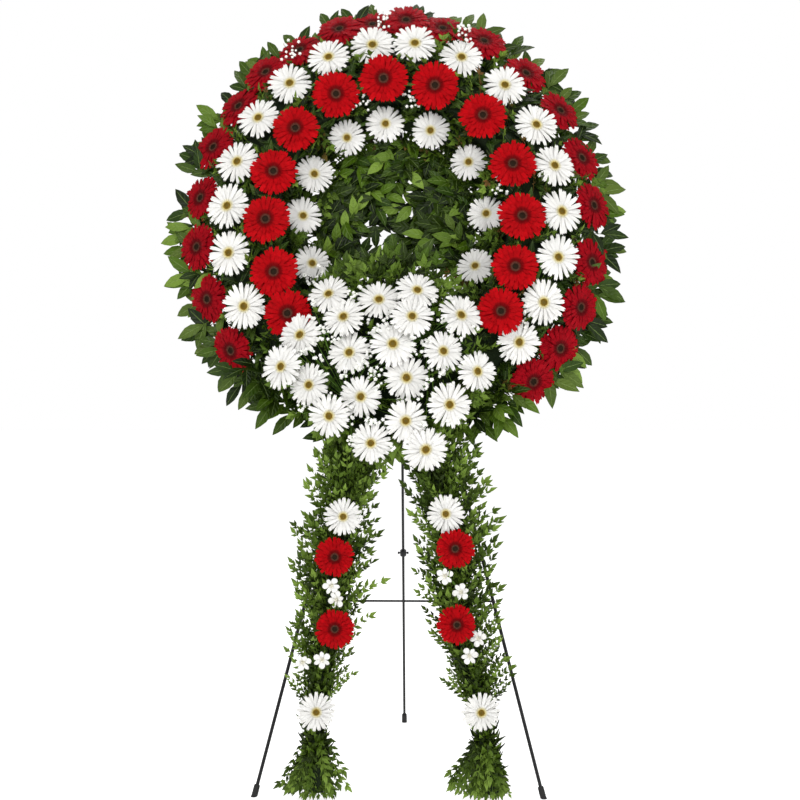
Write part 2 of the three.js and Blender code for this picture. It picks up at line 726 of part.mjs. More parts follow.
// Short greenery that grows out of the foam ring between the blooms, and holes for the garlands' pegs
function foamRingWithBed() {
  startDraws(11);
  const pieces = [ringBar(RING_SECTION, 0, 360)];
  for (const bed of BEDS) {
    for (let i = 0; i < bed.count; i += 1) {
      const angle = (360 * (i + between(0.1, 0.9))) / bed.count;
      const [radius, height] = onSection(bed.facet, bed.seat, -2);
      const turn = radians(angle);
      const away = vector(Math.cos(turn), Math.sin(turn), 0);
      const way = UP.clone().addScaledVector(away, bed.lean + between(-0.4, 0.4));
      way.addScaledVector(vector(-away.y, away.x, 0), between(-0.7, 0.7));
      grow(pieces, shortLeaf, onRing(radius, angle, height), way, away, BED_LEAF, wreath);
    }
  }
  const holes = GARLANDS.map((garland) => {
    const path = pegPath(garland).map((point) => wreath.worldToLocal(point));
    return tube([path[0], path[1].lerp(path[0], -0.1)], CORE.peg + 3 * GAP, 6);
  });
  addNode('foam_ring', holes.reduce((whole, hole) => whole.subtract(hole), joined(pieces)), 'bed', wreath);
}

// Leaves round the outside, behind the outer row, in arcs
function buildCollar() {
  startDraws(13);
  const { section, arcs, low, high, leaves } = COLLAR;
  const sweep = (high - low) / arcs;
  for (let arc = 0; arc < arcs; arc += 1) {
    const [from, to] = [low + arc * sweep + 0.5, low + (arc + 1) * sweep - 0.5];
    const pieces = [ringBar(section, from, to)];
    for (let i = 0; i < leaves; i += 1) {
      const angle = from + ((to - from) * (i + 0.5)) / leaves;
      const shorter = 1 - 0.3 * Math.max(0, Math.sin(radians(angle))) ** 2;
      const size = { ...COLLAR_LEAF, stalk: shorter * (COLLAR_LEAF.stalk + between(-8, 8)) };
      const heading = outward(angle + between(-22, 22), 90 + between(29, 39));
      grow(pieces, stalkedLeaf, onRing(396, angle, -5), heading, outward(angle, between(-20, 20)), size, wreath);
    }
    addNode(`leaf_collar_${arc + 1}`, joined(pieces), arc % 2 ? 'darkLeaf' : 'leaf', wreath);
  }
}

// Leaves that grow inwards over the ring's hole, long and short in turn
function buildHoleLeaves() {
  startDraws(14);
  const { arcs, leaves, stalks } = HOLE;
  const section = [onSection(0, 5, GAP), onSection(0, 5, GAP + 6), onSection(0, 13, GAP + 6), onSection(0, 13, GAP)];
  arcs.forEach(([from, to], arc) => {
    const pieces = [ringBar(section, from, to)];
    for (let i = 0; i < leaves; i += 1) {
      const root = onRing(194, from + 1 + ((to - from - 2) * i) / (leaves - 1), 9);
      const size = { ...HOLE_LEAF, stalk: stalks[i % stalks.length] + between(-8, 8) };
      const sideways = vector(-root.y, root.x, 0).normalize();
      const heading = root.clone().multiplyScalar(-1).setZ(0).normalize()
        .addScaledVector(sideways, between(-0.5, 0.5)).addScaledVector(UP, between(0, 0.16));
      const up = UP.clone().addScaledVector(sideways, between(-0.4, 0.4));
      grow(pieces, stalkedLeaf, root, heading, up, size, wreath);
    }
    addNode(`hole_leaves_${arc + 1}`, joined(pieces), arc % 2 ? 'leaf' : 'darkLeaf', wreath);
  });
}

// Large leaves below the mound, bound along the ring's lower edge
function buildLowerLeaves() {
  startDraws(15);
  for (const { side, from, to } of LOWER.arcs) {
    const pieces = [boundStems(5, LOWER.seat, from, to)];
    for (let i = 0; i < LOWER.leaves; i += 1) {
      const angle = from + 1 + ((to - from - 2) * i) / (LOWER.leaves - 1);
      const [radius, height] = onSection(5, LOWER.seat, GAP + 3);
      const size = { ...LOWER_LEAF, stalk: LOWER_LEAF.stalk + between(-14, 14) };
      const heading = outward(angle + between(-20, 20), LOWER.tilts[i % LOWER.tilts.length] + between(-5, 5));
      grow(pieces, stalkedLeaf, onRing(radius, angle, height), heading, outward(angle, -20), size, wreath);
    }
    addNode(`lower_leaves_${side}`, joined(pieces), side === 'left' ? 'leaf' : 'darkLeaf', wreath);
  }
}

// Small flowers on thin stalks, in the gaps of the mound
function buildGypsophila() {
  startDraws(16);
  const spots = MOUND.sprays.flat();
  for (const { name, x: rootX, y: rootY } of GYPSOPHILA.knots) {
    const root = vector(rootX, rootY, MOUND.foamFront + GAP);
    const knotTop = root.clone().setZ(root.z + 8);
    const pieces = [tube([root, knotTop], 3, 5)];
    for (let tries = 0; tries < 200 && pieces.length <= GYPSOPHILA.flowers; tries += 1) {
      const [reach, turn] = [between(8, 92), between(0, 2 * Math.PI)];
      const [x, y] = [rootX + reach * Math.cos(turn), rootY + reach * Math.sin(turn)];
      const nearest = Math.min(...spots.map(([sx, sy]) => Math.hypot(sx - x, sy - y)));
      if (nearest < 0.8 * MOUND.bloom) continue;
      const { place } = moundPlace([x, y], GYPSOPHILA.lift);
      const path = [knotTop.clone().setZ(root.z + 5), vector(x, y, root.z + 9), place];
      const end = place.clone().setZ(place.z + GYPSOPHILA.flower);
      const flower = tube([place.clone().setZ(place.z - 1), place.clone().setZ(place.z + 2), end],
        [0.6, GYPSOPHILA.flower, 0.8], 5);
      if (isClear(tube(path, 1.4, 3), wreath) && isClear(flower, wreath)) {
        pieces.push(tube(path, 0.9, 3).add(flower));
      }
    }
    addNode(`gypsophila_${name}`, joined(pieces), 'white', wreath);
  }
}

// The garlands

function garlandLine(garland) {
  return garland.line.map(([x, y, z]) => vector(x, y, z));
}

function pointAtHeight(line, z) {
  const i = Math.max(0, line.findIndex((point) => point.z < z) - 1);
  const [a, b] = [line[i], line[i + 1]];
  return a.clone().lerp(b, (a.z - z) / (a.z - b.z));
}

// The core hangs by a peg that stands in a plain hole in the ring's underside
function pegPath(garland) {
  const [top, next] = garlandLine(garland);
  const way = top.clone().sub(next).normalize();
  return [top.clone().addScaledVector(way, -4), top.clone().addScaledVector(way, CORE.pegUp)];
}

// Where a stem that comes in from a place ends inside the core
function rootInCore(line, place) {
  const onCore = pointAtHeight(line, place.z);
  return onCore.addScaledVector(place.clone().sub(onCore).normalize(), CORE.rootDepth);
}

function stemHole(root, place, radius) {
  const way = place.clone().sub(root).normalize();
  return tube([root.clone().addScaledVector(way, -1), place], radius + 4 * GAP, 5);
}

// Adds the flowers of a garland, and returns the holes that their stems need in its core
function buildGarlandFlowers({ side, blooms, alstroemerias }, line) {
  const holes = blooms.map(({ colour, at: [x, y, z], radius }, i) => {
    const place = vector(x, y, z);
    const root = rootInCore(line, place);
    const way = vector(between(-0.1, 0.1), -1, between(0, 0.16)).normalize();
    addNode(`garland_${side}_${colour}_${i + 1}`, bloomOnStem(place, way, radius, GERBERA, GERBERA.petals, root),
      colour, wreathOnEasel);
    return stemHole(root, place, GERBERA.stem);
  });
  alstroemerias.forEach((places, i) => {
    const heads = places.map(([x, y, z]) => vector(x, y, z));
    const fork = heads[0].clone().lerp(heads[1], 0.5).setY(heads[0].y + 24);
    const root = rootInCore(line, fork);
    const pieces = heads.map((place) => {
      const way = vector(between(-0.4, 0.4), -1, between(-0.3, 0.3)).normalize();
      return bloomOnStem(place, way, ALSTROEMERIA.radius, ALSTROEMERIA, ALSTROEMERIA.petals, fork);
    });
    addNode(`garland_${side}_alstroemeria_${i + 1}`, joined([tube([root, fork], ALSTROEMERIA.stem, 4), ...pieces]),
      'white', wreathOnEasel);
    holes.push(stemHole(root, fork, ALSTROEMERIA.stem));
  });
  return holes;
}

function tieBand(line) {
  const at = line[CORE.tie];
  const way = line[CORE.tie - 1].clone().sub(line[CORE.tie + 1]).normalize();
  const band = (radius, half) => tube([at.clone().addScaledVector(way, -half), at.clone().addScaledVector(way, half)],
    radius, 8);
  return band(CORE.radii[CORE.tie] + CORE.tieSeat + 3, 5).subtract(band(CORE.radii[CORE.tie] + CORE.tieSeat, 12));
}

function buildGarland(garland) {
  startDraws(17);
  const line = garlandLine(garland);
  const holes = buildGarlandFlowers(garland, line);
  addNode(`garland_tie_${garland.side}`, tieBand(line), 'wire', wreathOnEasel);
  const pieces = [tube(line, CORE.radii, CORE.sides), tube(pegPath(garland), CORE.peg, 6)];
  for (let row = 0; row < CORE.rows; row += 1) {
    const z = CORE.highest + ((CORE.lowest - CORE.highest) * row) / (CORE.rows - 1);
    for (const angle of CORE.turns) {
      const turn = radians(angle + (row % 2) * 50 + between(-14, 14));
      const out = vector(Math.cos(turn), 0.7 * Math.sin(turn), 0);
      const root = pointAtHeight(line, z + between(-10, 10)).addScaledVector(out, 8);
      const heading = out.clone().addScaledVector(UP, between(0.1, 0.7));
      const size = { ...SPRIG, length: SPRIG.length * (z < 240 ? 0.72 : 1) * between(0.85, 1.1) };
      grow(pieces, sprigBlade, root, heading, vector(between(-0.4, 0.4), -1, 0.3), size, wreathOnEasel);
    }
  }
  for (let i = 0; i < CORE.tails; i += 1) {
    const turn = (2 * Math.PI * (i + between(-0.2, 0.2))) / CORE.tails;
    const out = vector(Math.cos(turn), 0.8 * Math.sin(turn), 0);
    const [high, length] = CORE.tailFrom[i % 2];
    const root = pointAtHeight(line, high).addScaledVector(out, 7);
    grow(pieces, sprigBlade, root, out.clone().multiplyScalar(0.6).setZ(-1), vector(between(-0.4, 0.4), -1, 0),
      { ...SPRIG, length }, wreathOnEasel, CORE.tails);
  }
  addNode(`garland_${garland.side}`, holes.reduce((whole, hole) => whole.subtract(hole), joined(pieces)), 'sprig',
    wreathOnEasel);
}

buildEasel();
ROWS.forEach(buildRow);
buildMoundFoam();
buildMound();
foamRingWithBed();
buildCollar();
buildHoleLeaves();
buildGypsophila();
GARLANDS.forEach(buildGarland);
buildLowerLeaves();

wreathOnEasel.position.copy(MIDDLE).negate();

export default wreathOnEasel;
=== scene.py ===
"""A funeral wreath of gerberas on a folding rod easel, with two hanging garlands, over its solids."""

import math

import bmesh
import bpy
import numpy as np
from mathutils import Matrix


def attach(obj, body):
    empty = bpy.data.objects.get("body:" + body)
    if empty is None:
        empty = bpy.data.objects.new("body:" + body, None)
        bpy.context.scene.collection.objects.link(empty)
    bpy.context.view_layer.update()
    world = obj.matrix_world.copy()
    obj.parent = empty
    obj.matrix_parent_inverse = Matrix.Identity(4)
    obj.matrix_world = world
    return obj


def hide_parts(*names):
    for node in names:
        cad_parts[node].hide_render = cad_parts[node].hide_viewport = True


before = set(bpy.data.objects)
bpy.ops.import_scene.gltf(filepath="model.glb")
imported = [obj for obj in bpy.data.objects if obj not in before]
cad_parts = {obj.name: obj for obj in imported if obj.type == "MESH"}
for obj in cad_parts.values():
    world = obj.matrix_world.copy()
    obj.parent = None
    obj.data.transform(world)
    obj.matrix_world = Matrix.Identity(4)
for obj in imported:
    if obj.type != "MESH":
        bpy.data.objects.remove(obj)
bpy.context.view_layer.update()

bl_info = {
    "name": "Funeral wreath on its easel",
    "version": (1, 0, 0),
    "blender": (4, 5, 0),
    "location": "3D View > Sidebar > Wreath",
    "description": "Blooms, leaves, garlands and rods of a funeral wreath",
    "category": "Object",
}

# Sizes are in millimetres, and become metres when a mesh is made
MM = 0.001
SHARP = math.radians(50)
CLEARANCE = 0.35
GOLDEN_ANGLE = math.pi * (3 - math.sqrt(5))
FRONT_BODY = "wreath_and_front_frame"
REAR_BODY = "rear_leg"

# The easel, measured up the slope of its front legs
LEAN = math.radians(10)
SHIFT = (14, -260, 0)
FOOT_HALF_SPAN = 289
APEX = 1158
ROD_END = 1106
ROD = 3.5
TAPER = 0.7
MAST_BACK = 0.7
MAST = (1090, 1452)
MAST_HOOK_UP = 1393.8
BRACE_UP = 388
BRACE_HALF = 197
BRACE_ROD = 2.2
HOOK_X = 99
HOOK_ROD = 3
HOOK_PATH = ((0, 16), (0, 48), (20, 54))
MAST_HOOK_PATH = ((0, 0), (0, 26), (5, 34))
PLATE_HALF = 23
PLATE = (1086, 1150)
PLATE_THICK = 3
HINGE_UP = 1135
HINGE_BACK = 20
EAR_INNER = 8.5
EAR_THICK = 3
PIN = 2.5
REAR_ROD = 3
REAR_FOOT = (14, 340, 0)
CLAMP_DOWN = 718
CAP = 6.2

# The wreath: circles on it are a little taller than wide
WREATH_X = -12
WREATH_UP = 1184
OVAL = 1.1
RING_SECTION = [[200, 0], [196, 18], [238, 37.6], [244, 84], [286, 80], [356, 42.6], [392, 0]]
RING_FIT = 0.994
RIM = RING_SECTION[-1][0]
TRAY_DEPTH = 4
TRAY_STEPS = 30
TRAY_SPOKE = 6
ROWS = {
    "outer_red": {
        "nodes": 4, "facet": 5, "seat": 38, "radius": 425, "height": 10, "tilt": 38, "bloom": 51,
        "kind": "dark_red", "flare": 0, "nod": 8, "stagger": 7,
        "angles": [216, 200, 186, 172, 158, 144, 132, 120, 107, 97, 87, 76, 63, 48, 33, 19, 5, -10, -23, -35,
                   -47],
    },
    "outer_white": {
        "nodes": 4, "facet": 4, "seat": 40, "radius": 349, "height": 82, "tilt": 18, "bloom": 47,
        "kind": "white", "flare": 8, "nod": 7, "stagger": 2,
        "angles": [210, 192, 177, 162, 146, 130, 114, 98, 83, 66, 48, 31, 16, 1, -14, -29, -44],
    },
    "red": {
        "nodes": 3, "facet": 3, "seat": 21, "radius": 262, "height": 117, "tilt": 5, "bloom": 50,
        "kind": "red", "flare": 32, "nod": 14, "stagger": 2,
        "angles": [223, 206, 184, 163, 142, 118, 95, 71, 45, 20, -3, -24, -42],
    },
    "inner_white": {
        "nodes": 3, "facet": 1, "seat": 22, "radius": 194, "height": 55, "tilt": -10, "bloom": 40,
        "kind": "white", "flare": 0, "nod": 0, "stagger": 0,
        "angles": [207, 178, 152, 122, 96, 67, 36, 3, -29],
    },
}
MOUND_CENTRE = (-25, -335)
MOUND_REACH = 170
MOUND_BOX = ((-235, 190), (-505, -160))
MOUND_FOAM = (84.35, 112)
MOUND_TOP = 157
MOUND_FALL = 0.0005
MOUND_TILT_PER_MM = 0.13
MOUND_BLOOM = 45.5
MOUND_STEP = 10
MOUND_GATHER = 0.92
MOUND_OUTLINE = [
    (-135, -168), (60, -165), (150, -215), (178, -340), (125, -430), (72, -492), (-52, -485), (-138, -440),
    (-222, -352), (-205, -262),
]
MOUND_SPRAYS = [
    [(-130, -186), (-98, -238), (-186, -271), (-222, -337)],
    [(-28, -200), (49, -182), (39, -240), (137, -230)],
    [(-86, -310), (1, -295), (101, -308), (169, -345)],
    [(-166, -374), (-124, -438), (-62, -399), (-42, -490)],
    [(28, -361), (27, -448), (113, -415), (66, -502)],
]
SKIRT_X = (-190, 150)
SKIRT_LOW = -470
SKIRT_RISE = 150
CROWN_X = (-150, 90)
CROWN_Y = -186
GYPSOPHILA_KNOTS = {"high": (75, -262), "low": (-90, -400)}
RING_PUFFS = [
    (94, 398), (124, 400), (108, 234), (82, 230), (68, 398), (14, 226), (216, 206), (222, 300), (-40, 330),
]

# The garlands hang from the ring. Every point is measured from midway between the front feet,
# and both fall through the same depths and heights
GARLAND_FALL = [
    (96, 774), (86, 740), (62, 690), (28, 590), (6, 490), (-2, 360), (-12, 262), (-28, 166), (-38, 90), (-46, 24),
]
GARLANDS = {
    "left": {
        "across": [-76, -80, -88, -108, -128, -135, -152, -165, -163, -160],
        "blooms": [("white", (-108, -38, 564), 37), ("red", (-124, -52, 486), 38),
                   ("red", (-123, -62, 347), 38), ("white", (-157, -84, 190), 37)],
        "alstroemerias": [[(-131, -48, 430), (-120, -48, 402)], [(-148, -56, 286), (-186, -56, 281)]],
    },
    "right": {
        "across": [50, 52, 58, 84, 108, 118, 142, 165, 176, 183],
        "blooms": [("white", (94, -38, 570), 37), ("red", (112, -50, 503), 38),
                   ("red", (115, -62, 356), 38), ("white", (162, -84, 191), 37)],
        "alstroemerias": [[(92, -50, 450), (124, -50, 418)], [(158, -48, 328), (140, -50, 294)]],
    },
}
CORE_RADII = [7, 12, 18, 22, 22, 20, 18, 14, 17, 15]
TIE = 7
TIE_SEAT = 1.8
TIE_WIRE = 1.4
LILY = 20
SPRIG_HEIGHTS = (720, 175)
LEAF_HEIGHTS = (730, 70)
TAIL_HEIGHTS = (60, 150)
TAIL_END = 12

# Blooms: a disc's share of its head, the florets and stamens on it, and the finish of the green parts
DISC = {"white": 0.13, "red": 0.15}
FLORETS = 40
STAMENS = 26
PETAL_THICK = 0.014
STEM = 2.4
GREEN = 1

# Foliage, with how far a twig or branch of each kind reaches
BED_TWIG = 66
CROWN_TWIG = 70
GARLAND_TWIG = 100
BRANCH = 130
BED_TOP = 30
BED_SIDES = {"sprigs": (0, 1, 2, 3, 4, 4, 5, 5), "leaves": (1, 2, 3, 4, 4, 5, 5, 5)}
BED_FINISHES = ("foam", "sprig", "russet", "dark_leaf", "gypsophila", "tray")
PUFFS = 44
PUFF_TRIES = 900
RING_WIRE = 4
COLLAR_WIRE = (397, -5)
COLLAR_ROOT = 394
HOLE_ROOT = 192
COLLAR_ARCS = 5
COLLAR = (-46, 226)
LEAN_BACK = (0, 6, 12, 18)
HOLE_ARCS = [(-38, 22), (23, 82.5), (91, 154), (155, 218)]
LOWER_ARCS = {"left": (222, 264), "right": (277, 310)}

# The photograph's viewpoint, and its picture's width and focal length in pixels
CAMERA = (77, -2830, 794)
CAMERA_TURN = math.radians(1.337)
PICTURE = 800
FOCAL = 1287


def unit(v):
    v = np.array(v, float)
    return v / np.linalg.norm(v)


def laid(heading, up):
    """Axes with X along a heading and Z as near to a way up as that allows."""
    x = unit(heading)
    y = unit(np.cross(up, x))
    return np.array([x, y, np.cross(x, y)])


def stood(way, spin=0.0):
    """Axes with Z along a way, turned by a spin about it."""
    z = unit(way)
    side = unit(np.cross((0, 0, 1) if abs(z[2]) < 0.9 else (0, 1, 0), z))
    x = side * math.cos(spin) + np.cross(z, side) * math.sin(spin)
    return np.array([x, np.cross(z, x), z])


def around(turn, out, sideways=0.0, up=0.0):
    """A reach out at a turn about Z, and from there sideways and up."""
    cos, sin = math.cos(turn), math.sin(turn)
    return (out * cos - sideways * sin, out * sin + sideways * cos, up)


def raised(turn, lean):
    """A way at a turn about Z that rises by a lean, in radians."""
    return around(turn, math.cos(lean), 0, math.sin(lean))


def polar(angle, tilt):
    """A way out from the wreath's middle at an angle, tilted from straight ahead, in degrees."""
    lean = math.radians(tilt)
    return around(math.radians(angle), math.sin(lean), 0, math.cos(lean))


class Place:
    """A frame of its own within the object: an origin and three axes."""

    def __init__(self, origin, axes):
        self.origin = np.array(origin, float)
        self.axes = np.array(axes, float)

    def point(self, p):
        return self.origin + np.array(p, float) @ self.axes

    def way(self, v):
        return unit(np.array(v, float) @ self.axes)

    def laid(self, heading, up):
        return laid(self.way(heading), self.way(up))


SLOPE = Place(SHIFT, [(1, 0, 0), (0, math.sin(LEAN), math.cos(LEAN)), (0, -math.cos(LEAN), math.sin(LEAN))])
WREATH = Place(SLOPE.point((WREATH_X, WREATH_UP, ROD + CLEARANCE)), SLOPE.axes)
FLOOR = Place(SHIFT, np.eye(3))
HINGE = SLOPE.point((0, HINGE_UP, -HINGE_BACK))
REAR_TURN = math.atan2(REAR_FOOT[1] - HINGE[1], HINGE[2])
REAR = Place(HINGE, [(1, 0, 0), (0, math.cos(REAR_TURN), math.sin(REAR_TURN)),
                     (0, -math.sin(REAR_TURN), math.cos(REAR_TURN))])
REAR_LENGTH = math.hypot(REAR_FOOT[1] - HINGE[1], HINGE[2])


# Shapes


class Form:
    """Points and faces of a shape, with what the paint needs to know at each point."""

    def __init__(self, points, faces, along=0.0, across=0.0, shade=0.0, finish=0):
        self.points = np.array(points, float)
        self.corners = np.concatenate([np.array(face) for face in faces])
        self.sizes = np.array([len(face) for face in faces])
        self.paint = np.zeros((len(self.points), 3))
        self.paint[:, 0], self.paint[:, 1], self.paint[:, 2] = along, across, shade
        self.finish = np.full(len(self.sizes), finish)

    def moved(self, place, axes=None, size=1.0, shade=0.0, finish=None):
        copy = Form.__new__(Form)
        axes = np.eye(3) if axes is None else axes
        copy.points = (self.points * size) @ axes + np.array(place, float)
        copy.corners, copy.sizes = self.corners, self.sizes
        copy.paint = self.paint + (0, 0, shade)
        copy.finish = self.finish.copy() if finish is None else np.full(len(self.sizes), finish)
        return copy


def joined(forms):
    whole = Form.__new__(Form)
    starts = np.cumsum([0] + [len(form.points) for form in forms])
    whole.points = np.concatenate([form.points for form in forms])
    whole.corners = np.concatenate([form.corners + start for form, start in zip(forms, starts)])
    whole.sizes = np.concatenate([form.sizes for form in forms])
    whole.paint = np.concatenate([form.paint for form in forms])
    whole.finish = np.concatenate([form.finish for form in forms])
    return whole


def skin(rings, sides, whole=False):
    """Faces over rings of points, with a flat face at each end, or closed on itself."""
    faces = []
    for i in range(rings if whole else rings - 1):
        for k in range(sides):
            a, b = i * sides + k, i * sides + (k + 1) % sides
            up = ((i + 1) % rings - i) * sides
            faces.append((a, b, b + up, a + up))
    if whole:
        return faces
    return faces + [tuple(range(sides))[::-1], tuple(range((rings - 1) * sides, rings * sides))]


def tube(path, radii, sides=12, finish=0, shade=0.0):
    """A closed round tube through points, with a radius at each."""
    path = np.array(path, float)
    radii = np.broadcast_to(radii, len(path))
    ways = np.gradient(path, axis=0)
    ways /= np.linalg.norm(ways, axis=1)[:, None]
    across = np.array((1.0, 0, 0)) if abs(ways[0][0]) < 0.7 else np.array((0, 1.0, 0))
    turns = np.linspace(0, 2 * math.pi, sides, endpoint=False)
    points = []
    for centre, way, radius in zip(path, ways, radii):
        across = unit(across - way * across.dot(way))
        third = np.cross(way, across)
        points.append(centre + radius * (np.outer(np.cos(turns), across) + np.outer(np.sin(turns), third)))
    along = np.repeat(np.linspace(0, 1, len(path)), sides)
    faces = skin(len(path), sides)
    return Form(np.concatenate(points), faces, along=along, across=1.0, finish=finish, shade=shade)


def lathe(profile, sides=20, finish=0):
    """A solid of revolution about Z, from pairs of radius and height."""
    turns = np.linspace(0, 2 * math.pi, sides, endpoint=False)
    rings = [np.stack([r * np.cos(turns), r * np.sin(turns), np.full(sides, z)], 1) for r, z in profile]
    return Form(np.concatenate(rings), skin(len(profile), sides), across=1.0, finish=finish)


def bent(path, bend, steps=5):
    """A path with its corners rounded."""
    path = [np.array(p, float) for p in path]
    points = [path[0]]
    for before, corner, after in zip(path, path[1:], path[2:]):
        reach = min(bend, 0.45 * np.linalg.norm(before - corner), 0.45 * np.linalg.norm(after - corner))
        start, end = corner + reach * unit(before - corner), corner + reach * unit(after - corner)
        for share in np.linspace(0, 1, steps):
            points.append((1 - share) ** 2 * start + 2 * share * (1 - share) * corner + share**2 * end)
    return points + [path[-1]]


def block(low, high, soft=0.8):
    """A box with softened edges."""
    shape = bmesh.new()
    bmesh.ops.create_cube(shape, size=1)
    middle, size = (np.array(low) + high) / 2, np.array(high, float) - low
    for vertex in shape.verts:
        vertex.co = middle + np.array(vertex.co) * size
    bmesh.ops.bevel(shape, geom=shape.edges[:], offset=soft, segments=2, affect="EDGES", profile=0.5)
    shape.verts.index_update()
    form = Form([v.co[:] for v in shape.verts], [[v.index for v in face.verts] for face in shape.faces])
    shape.free()
    return form


def blade(length, width, outline, thick, fold=0.0, wave=0.0, arch=0.0, columns=4, shade=0.0, notch=0.0):
    """A thin closed blade along +X: the outline gives shares of its length with shares of its half width."""
    top = np.linspace(1, -1, columns + 1)
    under = top[-2:0:-1]
    side = np.concatenate([top, under])
    body = np.concatenate([1 - top**2, under**2 - 1])
    points, along = [], []
    for share, half in outline:
        lift = 4 * arch * share * (1 - share)
        z = lift + fold * half * np.abs(side) + wave * half * np.sin(math.pi * np.abs(side)) + thick / 2 * body
        x = length * (share - notch * share**8 * (1 - np.abs(side)))
        points.append(np.stack([x, side * half * width / 2, z], 1))
        along += [share] * len(side)
    across = np.tile(side, len(outline))
    return Form(np.concatenate(points), skin(len(outline), len(side)), along=along, across=across, shade=shade)


PETAL_OUTLINE = [(0, 0.42), (0.35, 0.78), (0.7, 1), (0.92, 0.82), (1, 0.4)]
LEAF_OUTLINE = [(0, 0.08), (0.14, 0.52), (0.36, 0.95), (0.6, 0.93), (0.84, 0.48), (1, 0.03)]
LEAFLET_OUTLINE = [(0, 0.14), (0.42, 1), (1, 0.08)]
BROAD_OUTLINE = [(0, 0.25), (0.25, 0.5), (0.55, 0.95), (0.8, 0.95), (0.95, 0.5), (1, 0.12)]


def gerbera(draw, layers, disc):
    """A gerbera's head of radius 1 facing +Z: layers of petals, a domed disc of florets, a ring of stamens."""
    forms = []
    for layer in layers:
        for i in range(layer["count"]):
            angle = 2 * math.pi * (i + layer["shift"] + draw.uniform(-0.16, 0.16)) / layer["count"]
            reach = layer["reach"] * draw.uniform(0.92, 1.03) - layer["start"]
            petal = blade(reach, layer["width"] * draw.uniform(0.88, 1.1), layer["outline"], PETAL_THICK,
                          fold=-0.012, wave=0.016, arch=layer["arch"], columns=2, shade=draw.uniform(0, 1),
                          notch=0.07)
            heading = raised(angle, layer["lean"] + draw.uniform(-0.07, 0.06))
            axes = laid(heading, around(angle, 0, draw.uniform(-0.22, 0.22), 1))
            forms.append(petal.moved(around(angle, layer["start"], 0, layer["lift"]), axes))
    dome = [(0.9, -0.06), (1.1, 0.04), (0.9, 0.075), (0.5, 0.09), (0.1, 0.09)]
    forms.append(lathe([(share * disc, height) for share, height in dome], 14))
    spike = tube([(0, 0, -0.02), (0, 0, 0.035)], [0.014, 0.006], 3)
    for i in range(FLORETS):
        turn, radius = i * GOLDEN_ANGLE, disc * math.sqrt((i + 0.5) / FLORETS)
        place = around(turn, radius, 0, 0.09 - 1.6 * radius**2)
        forms.append(spike.moved(place, stood(around(turn, radius, 0, 0.35)), shade=draw.uniform(-0.3, 0.5)))
    for i in range(STAMENS):
        turn = 2 * math.pi * (i + draw.uniform(0, 0.6)) / STAMENS
        radius = disc * draw.uniform(1.08, 1.32)
        axes = stood(around(turn, radius, 0, 0.2))
        forms.append(spike.moved(around(turn, radius, 0, 0.065), axes, 1.3, shade=draw.uniform(0, 1)))
    head = joined(forms)
    head.paint[:, 0] = np.hypot(head.points[:, 0], head.points[:, 1])
    return head


def petal_layers(blooms, kind):
    """Layers of petals from the back to the front: a red bloom is fuller than a white one."""
    outer, inner = blooms.outer_petals, blooms.inner_petals
    if kind == "white":
        rows = [(outer, 1.07, 0.2, -0.02, 0.01), (inner, 0.93, 0.165, 0.05, 0.03)]
        short = 0.31
    else:
        rows = [(outer + 5, 1.06, 0.22, -0.04, 0), (inner + 6, 0.93, 0.18, 0.03, 0.03),
                (inner + 5, 0.68, 0.14, 0.12, 0.045)]
        short = 0.44
    rows = [(*row, 0.4 * i, 0.1, 0.05, PETAL_OUTLINE) for i, row in enumerate(rows)]
    rows.append((20, short, 0.09, 0.2, 0.045, 0.1, 0.12, 0.02, LEAFLET_OUTLINE))
    keys = ("count", "reach", "width", "lean", "lift", "shift", "start", "arch", "outline")
    return [dict(zip(keys, row)) for row in rows]


def alstroemeria(draw):
    """A small open lily-like flower of radius 1: three broad petals and three narrow ones."""
    forms = []
    for i in range(6):
        angle = math.pi / 3 * (i + draw.uniform(-0.12, 0.12))
        width, lean, base = ((0.62, 0.36, -0.2), (0.42, 0.5, -0.15))[i % 2]
        petal = blade(0.95, width, BROAD_OUTLINE, 0.02, fold=-0.05, wave=0.03, arch=0.16,
                      shade=draw.uniform(0, 1))
        forms.append(petal.moved((0, 0, base), laid(raised(angle, lean), (0, 0, 1))))
    for i in range(5):
        angle = 2 * math.pi * (i + draw.uniform(0, 0.5)) / 5
        path = [(0, 0, -0.1), around(angle, 0.064, 0, 0.12), around(angle, 0.16, 0, 0.32)]
        forms.append(tube(path, [0.02, 0.02, 0.035], 4))
    head = joined(forms)
    head.paint[:, 0] = np.clip(np.hypot(head.points[:, 0], head.points[:, 1]), 0.3, 1)
    return head


def sprig(draw, length, leaf, pairs, leaf_length, yaw=(35, 62), first=0.16, stem=0.9, tip_shade=0.3):
    """A twig along +X with leaves in pairs and one at its tip, younger and paler towards the tip."""
    bend = draw.uniform(-0.1, 0.1, 2) * length

    def line(share):
        return np.array((share * length, bend[0] * share**2, bend[1] * share**2))

    stations = np.linspace(0, 1, 3)
    forms = [tube([line(s) for s in stations], stem * (1 - 0.6 * stations), 3, shade=0.35)]
    for k in range(pairs):
        share = first + (0.95 - first) * k / max(1, pairs - 1)
        for hand in (-1, 1):
            turn = hand * math.radians(draw.uniform(*yaw))
            heading = raised(turn, draw.uniform(-0.35, 0.55))
            up = (draw.uniform(-0.3, 0.3), draw.uniform(-0.4, 0.4), 1)
            size = leaf_length * draw.uniform(0.75, 1.08) * (1.05 - 0.3 * share)
            forms.append(leaf.moved(line(share + draw.uniform(-0.03, 0.03)), laid(heading, up), size,
                                    shade=tip_shade * share + draw.uniform(-0.12, 0.12)))
    way = line(1) - line(0.9)
    forms.append(leaf.moved(line(0.98), laid(way, (0, 0.2, 1)), leaf_length * 0.95, shade=tip_shade))
    return joined(forms)


